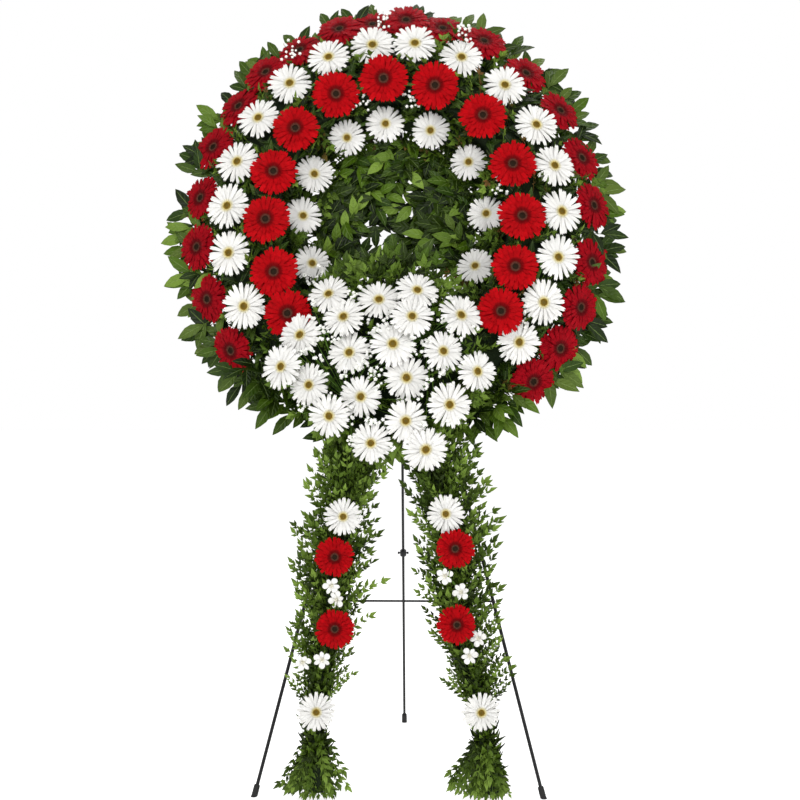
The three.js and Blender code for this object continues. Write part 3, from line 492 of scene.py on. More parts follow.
def branch(draw, length, leaf, leaves, leaf_length, stem=1.4):
    """A stalk along +X with single leaves by turns on either side and one at its tip."""
    bend = draw.uniform(-0.12, 0.12, 2) * length
    stations = np.linspace(0, 1, 4)
    line = [np.array((s * length, bend[0] * s * s, bend[1] * s * s)) for s in stations]
    forms = [tube(line, stem * (1 - 0.5 * stations), 4, shade=0.3)]
    for k in range(leaves):
        share = 0.22 + 0.66 * k / max(1, leaves - 1)
        turn = (-1) ** k * math.radians(draw.uniform(30, 58))
        heading = raised(turn, draw.uniform(-0.3, 0.45))
        place = (share * length, bend[0] * share**2, bend[1] * share**2)
        up = (draw.uniform(-0.35, 0.35), draw.uniform(-0.45, 0.45), 1)
        forms.append(leaf.moved(place, laid(heading, up), leaf_length * draw.uniform(0.82, 1.05),
                                shade=draw.uniform(-0.25, 0.35)))
    axes = laid(line[-1] - line[-2], (0, draw.uniform(-0.3, 0.3), 1))
    forms.append(leaf.moved(line[-1] * 0.98, axes, leaf_length, shade=draw.uniform(0, 0.4)))
    return joined(forms)


def puff():
    """A gypsophila flower of radius 1: two rosettes of small petals."""
    petal = blade(1, 0.8, [(0, 0.4), (1, 0.9)], 0.12, columns=2)
    forms = []
    for count, lean, shift in ((5, 0.15, 0), (4, 0.85, 0.5)):
        for i in range(count):
            heading = raised(2 * math.pi * (i + shift) / count, lean)
            forms.append(petal.moved((0, 0, 0), laid(heading, (0.1, 0, 1))))
    return joined(forms)


BLOOMS = []


def clear_of_blooms(root, heading, length):
    """The share of a twig's length that it may have before it covers a bloom's face."""
    shares = np.linspace(0.3, 1, 6)
    tips = root + np.outer(shares, heading) * length
    front = WREATH.axes[2]
    for place, way, radius in BLOOMS:
        if np.linalg.norm(place - root) > length + 2 * radius:
            continue
        away = tips - place
        ahead = away @ way / (way @ front)
        beside = np.linalg.norm(away - np.outer(ahead, front), axis=1)
        covered = (beside < radius) & (ahead > -6) & (ahead < 90)
        if covered.any():
            shares = shares[: int(np.argmax(covered))]
            tips = tips[: len(shares)]
            if not len(shares):
                return 0.0
    return float(shares[-1])


def leaned_back(place, turn, tilt, length):
    """A branch's heading, leaned back as far as it takes to pass behind the blooms, and its clear share."""
    for lean in LEAN_BACK:
        heading = WREATH.way(polar(turn, tilt + lean))
        clear = clear_of_blooms(place, heading, length)
        if clear == 1:
            break
    return heading, clear


class Pile:
    """A mesh that is put together from many copies of a few forms."""

    def __init__(self, *forms):
        self.forms = list(forms)

    def add(self, form, place=(0, 0, 0), axes=None, size=1.0, shade=0.0, finish=None):
        self.forms.append(form.moved(place, axes, size, shade, finish))

    def grow(self, draw, form, root, axes, size, reach, least, shades, finish=None):
        """Adds a twig that ends before it covers a bloom, or none where too little of it is left."""
        size *= clear_of_blooms(root, axes[0], reach * size)
        if size >= least:
            self.add(form, root, axes, size, draw.uniform(*shades), finish=finish)

    def build(self, name, finishes, nodes, slot, body=FRONT_BODY):
        whole = joined(self.forms)
        mesh = bpy.data.meshes.new(name)
        mesh.vertices.add(len(whole.points))
        mesh.vertices.foreach_set("co", (whole.points * MM).astype(np.float32).ravel())
        mesh.loops.add(len(whole.corners))
        mesh.loops.foreach_set("vertex_index", whole.corners.astype(np.int32))
        mesh.polygons.add(len(whole.sizes))
        starts = np.concatenate([[0], np.cumsum(whole.sizes)[:-1]])
        mesh.polygons.foreach_set("loop_start", starts.astype(np.int32))
        mesh.polygons.foreach_set("material_index", whole.finish.astype(np.int32))
        for k, key in enumerate(("along", "across", "shade")):
            values = mesh.attributes.new(key, "FLOAT", "POINT")
            values.data.foreach_set("value", whole.paint[:, k].astype(np.float32))
        mesh.update(calc_edges=True)
        mesh.polygons.foreach_set("use_smooth", np.ones(len(whole.sizes), bool))
        mesh.set_sharp_from_angle(angle=SHARP)
        for key in finishes:
            mesh.materials.append(finish(key))
        piece = bpy.data.objects.new(name, mesh)
        bpy.context.scene.collection.objects.link(piece)
        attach(piece, body)
        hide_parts(*nodes)
        return piece


# Materials


class Number:
    """A socket that can be used in sums."""

    def __init__(self, recipe, socket):
        self.recipe = recipe
        self.socket = socket

    def math(self, operation, *values):
        node = self.recipe.node("ShaderNodeMath", {"operation": operation}, dict(enumerate(values)))
        return Number(self.recipe, node.outputs[0])

    def __add__(self, other):
        return self.math("ADD", self, other)

    __radd__ = __add__

    def __sub__(self, other):
        return self.math("SUBTRACT", self, other)

    def __rsub__(self, other):
        return self.math("SUBTRACT", other, self)

    def __mul__(self, other):
        return self.math("MULTIPLY", self, other)

    __rmul__ = __mul__

    def __abs__(self):
        return self.math("ABSOLUTE", self)

    def wave(self):
        return self.math("SINE", self)

    def limited(self):
        return self.math("MINIMUM", self.math("MAXIMUM", self, 0.0), 1.0)


class Recipe:
    """A material that is put together from nodes."""

    def __init__(self, name):
        self.material = bpy.data.materials.new(name)
        self.material.use_nodes = True
        self.tree = self.material.node_tree
        self.surface = self.tree.nodes["Principled BSDF"]

    def node(self, kind, settings=None, inputs=None):
        node = self.tree.nodes.new(kind)
        for key, value in (settings or {}).items():
            if key == "stops":
                self.set_stops(node.color_ramp, value)
            else:
                setattr(node, key, value)
        for key, value in (inputs or {}).items():
            self.feed(node.inputs[key], value)
        return node

    def set_stops(self, ramp, stops):
        while len(ramp.elements) < len(stops):
            ramp.elements.new(1.0)
        for element, (position, colour) in zip(ramp.elements, stops):
            element.position = position
            element.color = (*colour, 1.0)

    def feed(self, socket, value):
        if isinstance(value, Number):
            value = value.socket
        if isinstance(value, bpy.types.NodeSocket):
            self.tree.links.new(value, socket)
        else:
            socket.default_value = value

    def painted(self, key):
        node = self.node("ShaderNodeAttribute", {"attribute_name": key})
        return Number(self, node.outputs["Fac"])

    def noise(self, scale, detail=3.0):
        place = self.node("ShaderNodeTexCoord").outputs["Object"]
        node = self.node("ShaderNodeTexNoise", None, {"Vector": place, "Scale": scale, "Detail": detail})
        return Number(self, node.outputs[0])

    def ramp(self, value, stops):
        return self.node("ShaderNodeValToRGB", {"stops": stops}, {0: value}).outputs["Color"]

    def mixed(self, factor, first, second, blend="MIX"):
        settings = {"data_type": "RGBA", "blend_type": blend}
        return self.node("ShaderNodeMix", settings, {0: factor, 6: first, 7: second}).outputs[2]

    def bumped(self, height, distance, strength=1.0):
        inputs = {"Height": height, "Distance": distance, "Strength": strength}
        return self.node("ShaderNodeBump", None, inputs).outputs["Normal"]

    def finished(self, **inputs):
        for key, value in inputs.items():
            self.feed(self.surface.inputs[key.replace("_", " ").title().replace("Ior", "IOR")], value)
        return self.material


def shaded(colour, amount):
    return tuple(min(1.0, c * amount) for c in colour[:3])


def petal_finish(name, stops, deepest, gleam):
    """A petal: colour by distance from the flower's middle, fine grooves along it, and a soft nap."""
    recipe = Recipe(name)
    radial, across, shade = (recipe.painted(key) for key in ("along", "across", "shade"))
    cloud = recipe.noise(260.0)
    colour = recipe.ramp((radial + (cloud - 0.5) * 0.05).limited(), stops)
    deep = recipe.mixed(((shade * 0.6 + cloud * 0.6) * 0.8).limited(), (1, 1, 1, 1), (*deepest, 1))
    colour = recipe.mixed(1.0, colour, deep, "MULTIPLY")
    groove = (across * 15.0).wave() * 0.5 + cloud * 0.3
    return recipe.finished(base_color=colour, roughness=0.5 + 0.15 * cloud,
                           normal=recipe.bumped(groove, 0.0006), specular_ior_level=gleam)


def leaf_finish(name, stops, roughness=0.42, veins=26.0, rib=0.5):
    """A leaf: colour by its age, a paler rib, and side veins pressed into the blade."""
    recipe = Recipe(name)
    along, across, shade = (recipe.painted(key) for key in ("along", "across", "shade"))
    cloud = recipe.noise(45.0)
    colour = recipe.ramp((shade + (cloud - 0.5) * 0.35).limited(), stops)
    middle = (1.0 - abs(across) * 9.0).limited()
    colour = recipe.mixed(middle * rib, colour, (0.24, 0.34, 0.1, 1))
    vein = (along * veins - abs(across) * 7.0).wave()
    normal = recipe.bumped(vein * 0.5 - middle + cloud * 0.6, 0.0007)
    return recipe.finished(base_color=colour, roughness=roughness + 0.2 * (cloud - 0.5), normal=normal,
                           specular_ior_level=0.16)


def plain_finish(name, colour, roughness, metallic=0.0, scale=120.0, depth=0.0003, mottle=0.3):
    """A plain surface with a mottled colour and a fine grain."""
    recipe = Recipe(name)
    cloud = recipe.noise(scale)
    tone = recipe.mixed((cloud * mottle).limited(), (*colour[:3], 1), (*shaded(colour, 1.8), 1))
    return recipe.finished(base_color=tone, roughness=roughness + 0.25 * (cloud - 0.5), metallic=metallic,
                           normal=recipe.bumped(cloud, depth), specular_ior_level=0.25)


FINISHES = {}


def finish(name):
    """A finish by its name, made when it is first asked for."""
    if name not in FINISHES:
        FINISHES[name] = make_finish(name)
    return FINISHES[name]


def make_finish(name):
    blooms, foliage = bpy.context.scene.wreath_blooms, bpy.context.scene.wreath_foliage
    easel = bpy.context.scene.wreath_easel
    white, red, dark = tuple(blooms.white), tuple(blooms.red), tuple(blooms.dark_red)
    if name == "white":
        stops = [(0, (0.13, 0.09, 0.006)), (0.09, (0.15, 0.09, 0.005)), (0.15, (0.3, 0.19, 0.015)),
                 (0.18, (0.78, 0.64, 0.22)), (0.24, (0.94, 0.88, 0.6)), (0.34, white), (1, white)]
        return petal_finish("white petal", stops, (0.9, 0.89, 0.87), 0.25)
    if name in ("red", "dark_red"):
        main = red if name == "red" else dark
        stops = [(0, (0.02, 0.012, 0.004)), (0.12, (0.018, 0.008, 0.004)), (0.16, (0.17, 0.07, 0.045)),
                 (0.2, (0.14, 0.03, 0.02)), (0.24, shaded(main, 0.3)), (0.33, shaded(main, 0.4)),
                 (0.42, shaded(main, 0.85)), (1, main)]
        return petal_finish(f"{name} petal", stops, (0.6, 0.5, 0.5), 0.08)
    leaves = {
        "leaf": [shaded(foliage.leaf, 0.3), tuple(foliage.leaf), tuple(foliage.tip)],
        "dark_leaf": [shaded(foliage.dark_leaf, 0.3), tuple(foliage.dark_leaf), shaded(foliage.tip, 0.5)],
        "sprig": [shaded(foliage.sprig, 0.25), tuple(foliage.sprig), shaded(foliage.tip, 1.15)],
    }
    if name in leaves:
        stops = list(zip((0, 0.45, 1), leaves[name]))
        return leaf_finish(f"{name} green", stops, veins=8.0 if name == "sprig" else 30.0)
    if name == "gypsophila":
        return plain_finish("gypsophila", (0.88, 0.88, 0.84), 0.6, scale=600.0, mottle=0.1)
    if name == "russet":
        stops = [(0, (0.03, 0.02, 0.006)), (0.5, (0.1, 0.08, 0.015)), (1, (0.2, 0.1, 0.03))]
        return leaf_finish("russet sprig", stops, veins=8.0, rib=0.2)
    plain = {
        "stem": ((0.1, 0.2, 0.03), 0.5, 0.0, 300.0, 0.0002),
        # Foam: near-black green on the ring and the mound's block. On each garland's core the same colour is
        # painted shade, the dark depth that shows between the sprigs
        "foam": ((0.008, 0.016, 0.004), 0.95, 0.0, 420.0, 0.0012),
        "steel": (tuple(easel.paint), easel.gloss, 0.0, 380.0, 0.00012),
        "bare_steel": ((0.45, 0.45, 0.46), 0.32, 1.0, 500.0, 0.0001),
        "tray": ((0.01, 0.024, 0.009), 0.6, 0.0, 60.0, 0.0002),
        "rubber": ((0.018, 0.018, 0.018), 0.8, 0.0, 700.0, 0.0003),
        "wire": ((0.02, 0.06, 0.02), 0.45, 0.2, 400.0, 0.0001),
    }
    colour, roughness, metallic, scale, depth = plain[name]
    return plain_finish(name.replace("_", " "), colour, roughness, metallic, scale, depth)


# Places on the wreath


def facet(number):
    """A side of the ring's section: where it starts, its way along and its length."""
    (r0, h0), (r1, h1) = RING_SECTION[number], RING_SECTION[number + 1]
    length = math.hypot(r1 - r0, h1 - h0)
    return (r0, h0), ((r1 - r0) / length, (h1 - h0) / length), length


def section_point(number, along, out=0.0):
    """The radius and height of a spot along a side of the section, moved out from it."""
    (r0, h0), (dr, dh), _ = facet(number)
    return r0 + dr * along - dh * out, h0 + dh * along + dr * out


def bed_spot(draw, number, margin):
    """A random spot on a side of the ring: its turn and place, and that side's way out and ahead."""
    _, (ahead, inward), length = facet(number)
    angle = draw.uniform(0, 360)
    radius, height = section_point(number, draw.uniform(margin, 1 - margin) * length, -1)
    return math.radians(angle), ring_point(radius, angle, height), -inward, ahead


def ring_point(radius, angle, height, fit=RING_FIT):
    """A spot on the wreath's oval, in the wreath's own frame."""
    turn = math.radians(angle)
    return np.array((fit * radius * math.cos(turn), fit * OVAL * radius * math.sin(turn), height))


def on_ring(radius, angle, height, fit=RING_FIT):
    return WREATH.point(ring_point(radius, angle, height, fit))


def wired(radius, low, high, height, finish=0, step=4):
    """A pile that starts with the wire that it is bound to, along the ring."""
    angles = np.linspace(low, high, max(3, int(abs(high - low) / step)))
    return Pile(tube([on_ring(radius, angle, height) for angle in angles], RING_WIRE, 8, finish=finish))


def spaced(draw, low, high, count, margin=0.1):
    """Numbered steps from low to high, each at random within its own share."""
    for i in range(count):
        yield i, low + (high - low) * (i + draw.uniform(margin, 1 - margin)) / count


def inside_mound(x, y):
    inside = False
    for (x0, y0), (x1, y1) in zip(MOUND_OUTLINE, MOUND_OUTLINE[1:] + MOUND_OUTLINE[:1]):
        if (y0 > y) != (y1 > y) and x < x0 + (x1 - x0) * (y - y0) / (y1 - y0):
            inside = not inside
    return inside


def mound_point(x, y, lift=0.0):
    dx, dy = x - MOUND_CENTRE[0], y - MOUND_CENTRE[1]
    away = math.hypot(dx, dy)
    way = polar(math.degrees(math.atan2(dy, dx)), away * MOUND_TILT_PER_MM)
    return (x, y, MOUND_TOP - MOUND_FALL * away**2 + lift), way


def add_bloom(pile, head, place, way, radius, root, draw):
    """A head on its calyx and stem: petals take the first finish and green parts the second."""
    way = unit(way)
    BLOOMS.append((np.array(place), way, radius))
    pile.add(head, place, stood(way, draw.uniform(0, 6.28)), radius, draw.uniform(-0.15, 0.15))
    cup = [(0.26 * radius, -0.2), (0.24 * radius, -0.06 * radius), (0.12 * radius, -8), (3, -11), (2.6, -13)]
    pile.add(lathe(cup[::-1], 12, finish=GREEN), place, stood(way))
    neck = np.array(place) - 12 * way
    middle = (neck + root) / 2 - 4 * way
    pile.add(tube(bent([np.array(place) - 4 * way, neck, middle, root], 12, 3), STEM, 7, finish=GREEN))


# The parts of the object


def build_easel(context):
    settings = context.scene.wreath_easel

    def rod(points, radii, base=SLOPE):
        return tube([base.point(p) for p in points], radii, settings.sides)

    def made(name, node, forms, body=FRONT_BODY, metal="steel", slot="rods"):
        Pile(*forms).build(name, (metal,), [node], slot, body)

    for name, side in (("left", -1), ("right", 1)):
        foot = np.array((side * FOOT_HALF_SPAN, 0, 0))
        way = unit((-side * FOOT_HALF_SPAN, APEX, 0))
        top = foot + way * ROD_END / way[1]
        leg = rod([foot + 5 * way, top - 1.5 * way, top], [ROD, ROD, TAPER * ROD])
        below = RIM * RING_FIT * OVAL * math.sqrt(1 - ((side * HOOK_X - WREATH_X) / RIM) ** 2)
        seat = WREATH_UP - below - HOOK_ROD - CLEARANCE
        x, on_leg = side * HOOK_X, side * FOOT_HALF_SPAN * (1 - seat / APEX)
        hook = rod(bent([(on_leg, seat, 0)] + [(x, seat + up, out) for up, out in HOOK_PATH], 9), HOOK_ROD)
        weld = lathe([(0.5, -4.5), (3.6, -3), (4.4, 0), (3.6, 3), (0.5, 4.5)], 12)
        weld_way = SLOPE.way((side * (HOOK_X - abs(on_leg)), 0, HOOK_PATH[0][1]))
        weld = weld.moved(SLOPE.point((on_leg, seat, 3)), stood(weld_way))
        made(f"front_rod_{name}", f"front_leg_{name}", [leg, hook, weld])
        build_cap(f"foot_{name}", SLOPE.point(foot), SLOPE.way(way), f"foot_cap_{name}", FRONT_BODY)
    mast = [(0, up, -MAST_BACK) for up in (MAST[0], MAST[0] + 1, MAST[1] - 1, MAST[1])]
    hook = bent([(0, MAST_HOOK_UP + up, out) for up, out in MAST_HOOK_PATH], 6)
    front = -ROD - CLEARANCE
    plate = block((-PLATE_HALF, PLATE[0], front - PLATE_THICK), (PLATE_HALF, PLATE[1], front))
    forms = [rod(mast, [TAPER * ROD, ROD, ROD, TAPER * ROD]), rod(hook, HOOK_ROD)]
    forms.append(plate.moved(SLOPE.origin, SLOPE.axes))
    rivet = lathe([(3.2, 0), (3.2, 0.6), (2.2, 1.7), (0.4, 2)], 14)
    for side in (-1, 1):
        edges = sorted((side * EAR_INNER, side * (EAR_INNER + EAR_THICK)))
        ear = block((edges[0], HINGE_UP - 9, -HINGE_BACK - 9), (edges[1], HINGE_UP + 9, front - 1))
        forms.append(ear.moved(SLOPE.origin, SLOPE.axes))
        for up in (PLATE[0] + 8, PLATE[1] - 8):
            place = SLOPE.point((side * (PLATE_HALF - 6), up, front - PLATE_THICK))
            forms.append(rivet.moved(place, stood(SLOPE.way((0, 0, -1)))))
    made("mast_and_bracket", "mast_with_bracket", forms)
    ends = (-BRACE_HALF, 1 - BRACE_HALF, BRACE_HALF - 1, BRACE_HALF)
    brace = [(x, BRACE_UP, -ROD - CLEARANCE - BRACE_ROD) for x in ends]
    brace = rod(brace, [TAPER * BRACE_ROD, BRACE_ROD, BRACE_ROD, TAPER * BRACE_ROD])
    made("brace_rod", "cross_brace", [brace])
    reach = EAR_INNER + EAR_THICK + CLEARANCE
    half = [(0.6 * PIN, reach + 2.8), (1.5 * PIN, reach + 2.4), (1.9 * PIN, reach + 1.2), (1.9 * PIN, reach),
            (PIN, reach)]
    pin = lathe([(r, -z) for r, z in half] + half[::-1], 18).moved(HINGE, stood((1, 0, 0)))
    made("pivot_pin", "hinge_pin", [pin], metal="bare_steel", slot="pin")
    leg = rod([(0, 0, z) for z in (-5, -5 - REAR_LENGTH / 2, 5 - REAR_LENGTH)], REAR_ROD, REAR)
    eye = [(5.6, -EAR_INNER + 1), (6.8, -EAR_INNER + 2), (6.8, EAR_INNER - 2), (5.6, EAR_INNER - 1)]
    made("rear_rod", "rear_leg", [leg, lathe(eye, 18).moved(HINGE, stood((1, 0, 0)))], REAR_BODY)
    hole = REAR_ROD + 2 * CLEARANCE
    band = [(hole, -7), (hole + 3, -7), (hole + 3.6, -6), (hole + 3.6, 6), (hole + 3, 7), (hole, 7)]
    screw = lathe([(1.6, 0), (1.6, 3), (2.6, 3), (2.9, 3.6), (2.9, 6.4), (2.4, 7)], 10)
    forms = [lathe(band, 20).moved(REAR.point((0, 0, -CLAMP_DOWN)), REAR.axes)]
    for side in (-1, 1):
        forms.append(screw.moved(REAR.point((side * (hole + 2), 0, -CLAMP_DOWN)), stood((side, 0, 0))))
    made("clamp_collar", "rear_leg_clamp", forms, REAR_BODY)
    build_cap("foot_rear", np.array(REAR_FOOT), unit(HINGE - REAR_FOOT), "foot_cap_rear", REAR_BODY)


def build_cap(name, foot, way, node, body):
    """A rubber cap with two ribs, flat where it stands on the floor."""
    profile = [(CAP, -4), (CAP, 3), (CAP - 0.5, 4), (CAP, 5), (CAP, 8), (CAP - 0.5, 9), (CAP, 10),
               (CAP - 0.3, 22), (CAP - 1, 23.6), (ROD + 0.2, 24)]
    cap = lathe(profile, 24).moved(foot, stood(way))
    cap.points[:, 2] = np.maximum(cap.points[:, 2], 0)
    Pile(cap).build(name, ("rubber",), [node], "feet", body)


def build_rows(context):
    colours = context.scene.wreath_blooms
    draw = np.random.default_rng(3)
    heads = {kind: [gerbera(draw, petal_layers(colours, kind), DISC[kind]) for _ in range(3)] for kind in DISC}
    for name, row in ROWS.items():
        last, share = len(row["angles"]) - 1, len(row["angles"]) / row["nodes"]
        variants = heads[row["kind"].replace("dark_", "")]
        for node in range(row["nodes"]):
            first, end = round(node * share + 1e-6), round((node + 1) * share + 1e-6)
            angles = row["angles"][first:end]
            root_radius, root_height = section_point(row["facet"], row["seat"], RING_WIRE)
            pile = wired(root_radius, min(angles) - 1, max(angles) + 1, root_height, GREEN)
            for i, angle in enumerate(angles):
                along_row = 2 * (first + i) / last - 1
                radius = row["radius"] + row["flare"] * along_row**6
                stagger = row["stagger"] * (1 if (first + i) % 2 == 0 else -1)
                place = on_ring(radius, angle, row["height"] + stagger, 1)
                nod = row["nod"] * max(0, math.sin(math.radians(angle)))
                way = WREATH.way(polar(angle, row["tilt"] - nod + draw.uniform(-4, 4)))
                root = on_ring(root_radius, angle, root_height)
                size = row["bloom"] * draw.uniform(0.97, 1.02)
                add_bloom(pile, variants[i % 3], place, way, size, root, draw)
            pile.build(f"{name}_blooms_{node + 1}", (row["kind"], "stem"), [f"{name}_{node + 1}"],
                       f"{row['kind']}_petals")


def mound_lifts(spots):
    """Each bloom sits a step above or below the ones that it overlaps."""
    levels = []
    for i, (x, y) in enumerate(spots):
        taken = [levels[k] for k in range(i) if math.hypot(spots[k][0] - x, spots[k][1] - y) < 2 * MOUND_BLOOM]
        levels.append(next(level for level in range(len(spots)) if level not in taken))
    return [level * MOUND_STEP for level in levels]


def mound_root(x, y):
    """Where a bloom's stem enters the block: gathered a little towards its middle."""
    cx, cy = MOUND_CENTRE
    return (cx + (x - cx) * MOUND_GATHER, cy + (y - cy) * MOUND_GATHER, MOUND_FOAM[1] + 2)


def build_mound(context):
    draw = np.random.default_rng(5)
    layers = petal_layers(context.scene.wreath_blooms, "white")
    heads = [gerbera(draw, layers, DISC["white"]) for _ in range(4)]
    lifts = mound_lifts([spot for spray in MOUND_SPRAYS for spot in spray])
    for node, spray in enumerate(MOUND_SPRAYS):
        pile = Pile(tube([WREATH.point(mound_root(*spot)) for spot in spray], 2.2, 8, finish=GREEN))
        for i, (x, y) in enumerate(spray):
            place, way = mound_point(x, y, lifts[node * len(spray) + i])
            add_bloom(pile, heads[(node + i) % 4], WREATH.point(place), WREATH.way(way),
                      MOUND_BLOOM * draw.uniform(0.89, 1.0), WREATH.point(mound_root(x, y)), draw)
        pile.build(f"mound_blooms_{node + 1}", ("white", "stem"), [f"mound_white_{node + 1}"], "white_petals")


def build_gypsophila(context):
    draw = np.random.default_rng(8)
    flower = puff()
    spots = [spot for spray in MOUND_SPRAYS for spot in spray]
    for name, (root_x, root_y) in GYPSOPHILA_KNOTS.items():
        knot = WREATH.point((root_x, root_y, MOUND_FOAM[1] + 6))
        pile = Pile(tube([WREATH.point((root_x, root_y, MOUND_FOAM[1])), knot], [3, STEM], 8, finish=GREEN))
        placed = 0
        for _ in range(PUFF_TRIES):
            reach, turn = 20 + 190 * draw.random() ** 0.8, draw.uniform(0, 2 * math.pi)
            x, y = root_x + reach * math.cos(turn), root_y + reach * math.sin(turn)
            near = min(math.hypot(sx - x, sy - y) for sx, sy in spots)
            if near < 0.75 * MOUND_BLOOM or not inside_mound(0.93 * x, 0.95 * y):
                continue
            place, way = mound_point(x, y, draw.uniform(4, 26))
            for _ in range(3):
                spread = draw.uniform(-9, 9, 3) * (1, 1, 0.6)
                end = WREATH.point(np.array(place) + spread)
                start = WREATH.point((x, y, place[2] - 22))
                path = [knot, (knot + start) / 2 + (0, 4, 0), start, end]
                pile.add(tube(path, [0.9, 0.8, 0.6, 0.4], 4, finish=GREEN))
                pile.add(flower, end, stood(WREATH.way(way), draw.uniform(0, 6)), draw.uniform(2.6, 4.2),
                         draw.uniform(0, 0.6))
            placed += 1
            if placed == PUFFS:
                break
        pile.build(f"gypsophila_spray_{name}", ("gypsophila", "stem"), [f"gypsophila_{name}"], "white_petals")


def foam_ring(draw, stations=120):
    """The ring's foam, rough on its rounded front, with the ribbed tray that it sits in at its back."""
    section = []
    for (r0, h0), (r1, h1) in zip(RING_SECTION, RING_SECTION[1:]):
        for share in np.linspace(0, 1, 4)[:-1]:
            section.append((r0 + (r1 - r0) * share, h0 + (h1 - h0) * share))
    front = len(section)
    for k in range(TRAY_STEPS):
        section.append((RIM + (RING_SECTION[0][0] - RIM) * k / TRAY_STEPS, TRAY_DEPTH * (k // 2 % 2)))
    points = []
    for k in range(stations):
        for i, (radius, height) in enumerate(section):
            rough = draw.uniform(-1.2, 1.2) if i < front and height > 1 else 0
            if i >= front and k % TRAY_SPOKE == 0:
                height = 0
            points.append(on_ring(radius + rough, 360 * k / stations, height + rough))
    ring = Form(points, [face[::-1] for face in skin(stations, len(section), True)], shade=0.3)
    ring.finish[np.arange(len(ring.sizes)) % len(section) >= front] = BED_FINISHES.index("tray")
    return ring


def mound_block():
    """The foam block under the mound, with its edges softened."""
    outline = np.array(MOUND_OUTLINE, float)
    middle = outline.mean(axis=0)
    low, high = MOUND_FOAM
    points = []
    for inset, height in ((0.985, low), (1, low + 3), (1, high - 4), (0.975, high)):
        points += [WREATH.point((*p, height)) for p in middle + (outline[::-1] - middle) * inset]
    return Form(points, skin(4, len(outline)), shade=0.3)


def build_foam(context):
    foliage = context.scene.wreath_foliage
    draw = np.random.default_rng(12)
    ring = foam_ring(draw)
    leaflet = blade(1, 0.5, LEAFLET_OUTLINE, 0.05, fold=0.08, arch=0.06, columns=2)
    twigs = [sprig(draw, 50, leaflet, 3, 21, stem=0.9, tip_shade=0.5) for _ in range(6)]
    cover_ring(Pile(ring), foliage, draw, twigs)
    cover_mound(Pile(mound_block()), foliage, draw, twigs)


def cover_ring(pile, foliage, draw, twigs):
    """Sprigs, single leaves and small white flowers all over the ring of foam."""
    _, green, russet, dark, white, _ = range(len(BED_FINISHES))
    for i in range(foliage.bed_sprigs):
        turn, root, out, ahead = bed_spot(draw, BED_SIDES["sprigs"][i % 8], 0.05)
        if root[2] > BED_TOP and inside_mound(root[0] * 1.02, root[1] * 1.02):
            continue
        sideways = draw.uniform(-0.8, 0.8)
        heading = around(turn, out + draw.uniform(-0.5, 0.5), sideways, ahead + 0.3)
        axes = WREATH.laid(heading, around(turn, 1, 0, draw.uniform(0.2, 1)))
        pile.grow(draw, twigs[i % len(twigs)], WREATH.point(root), axes, draw.uniform(0.8, 1.25), BED_TWIG,
                  0.3, (-0.2, 0.5), russet if i % 9 == 4 else green)
    leaf = blade(1, 0.42, LEAFLET_OUTLINE, 0.03, fold=0.06, arch=0.1, columns=2)
    for i in range(foliage.bed_leaves):
        side = BED_SIDES["leaves"][i % 8]
        turn, root, out, ahead = bed_spot(draw, side, 0)
        if root[2] > BED_TOP and inside_mound(root[0], root[1]):
            continue
        swing = draw.uniform(0, 2 * math.pi)
        flat = 0.9 * math.cos(swing) + (0.9 if side == 5 else 0)
        heading = around(turn, flat + 0.5 * out, math.sin(swing), 0.5 * ahead)
        axes = WREATH.laid(heading, around(turn, out, 0, ahead + 0.4))
        pile.grow(draw, leaf, WREATH.point(root), axes, draw.uniform(30, 46), 1, 12, (-0.1, 0.7), dark)
    flower = puff()
    front = WREATH.way((0, 0, 1))
    for angle, radius in RING_PUFFS:
        knot = on_ring(radius, angle, 60)
        for _ in range(16):
            spread = draw.uniform(-20, 20, 2)
            end = knot + front * draw.uniform(28, 44) + (spread[0], 0, spread[1])
            pile.add(tube([knot, (knot + end) / 2, end], 0.4, 3), finish=green)
            pile.add(flower, end, stood(front, draw.uniform(0, 6)), draw.uniform(2.4, 3.8), finish=white)
    pile.build("foam_ring_greenery", BED_FINISHES, ["foam_ring"], "greenery")


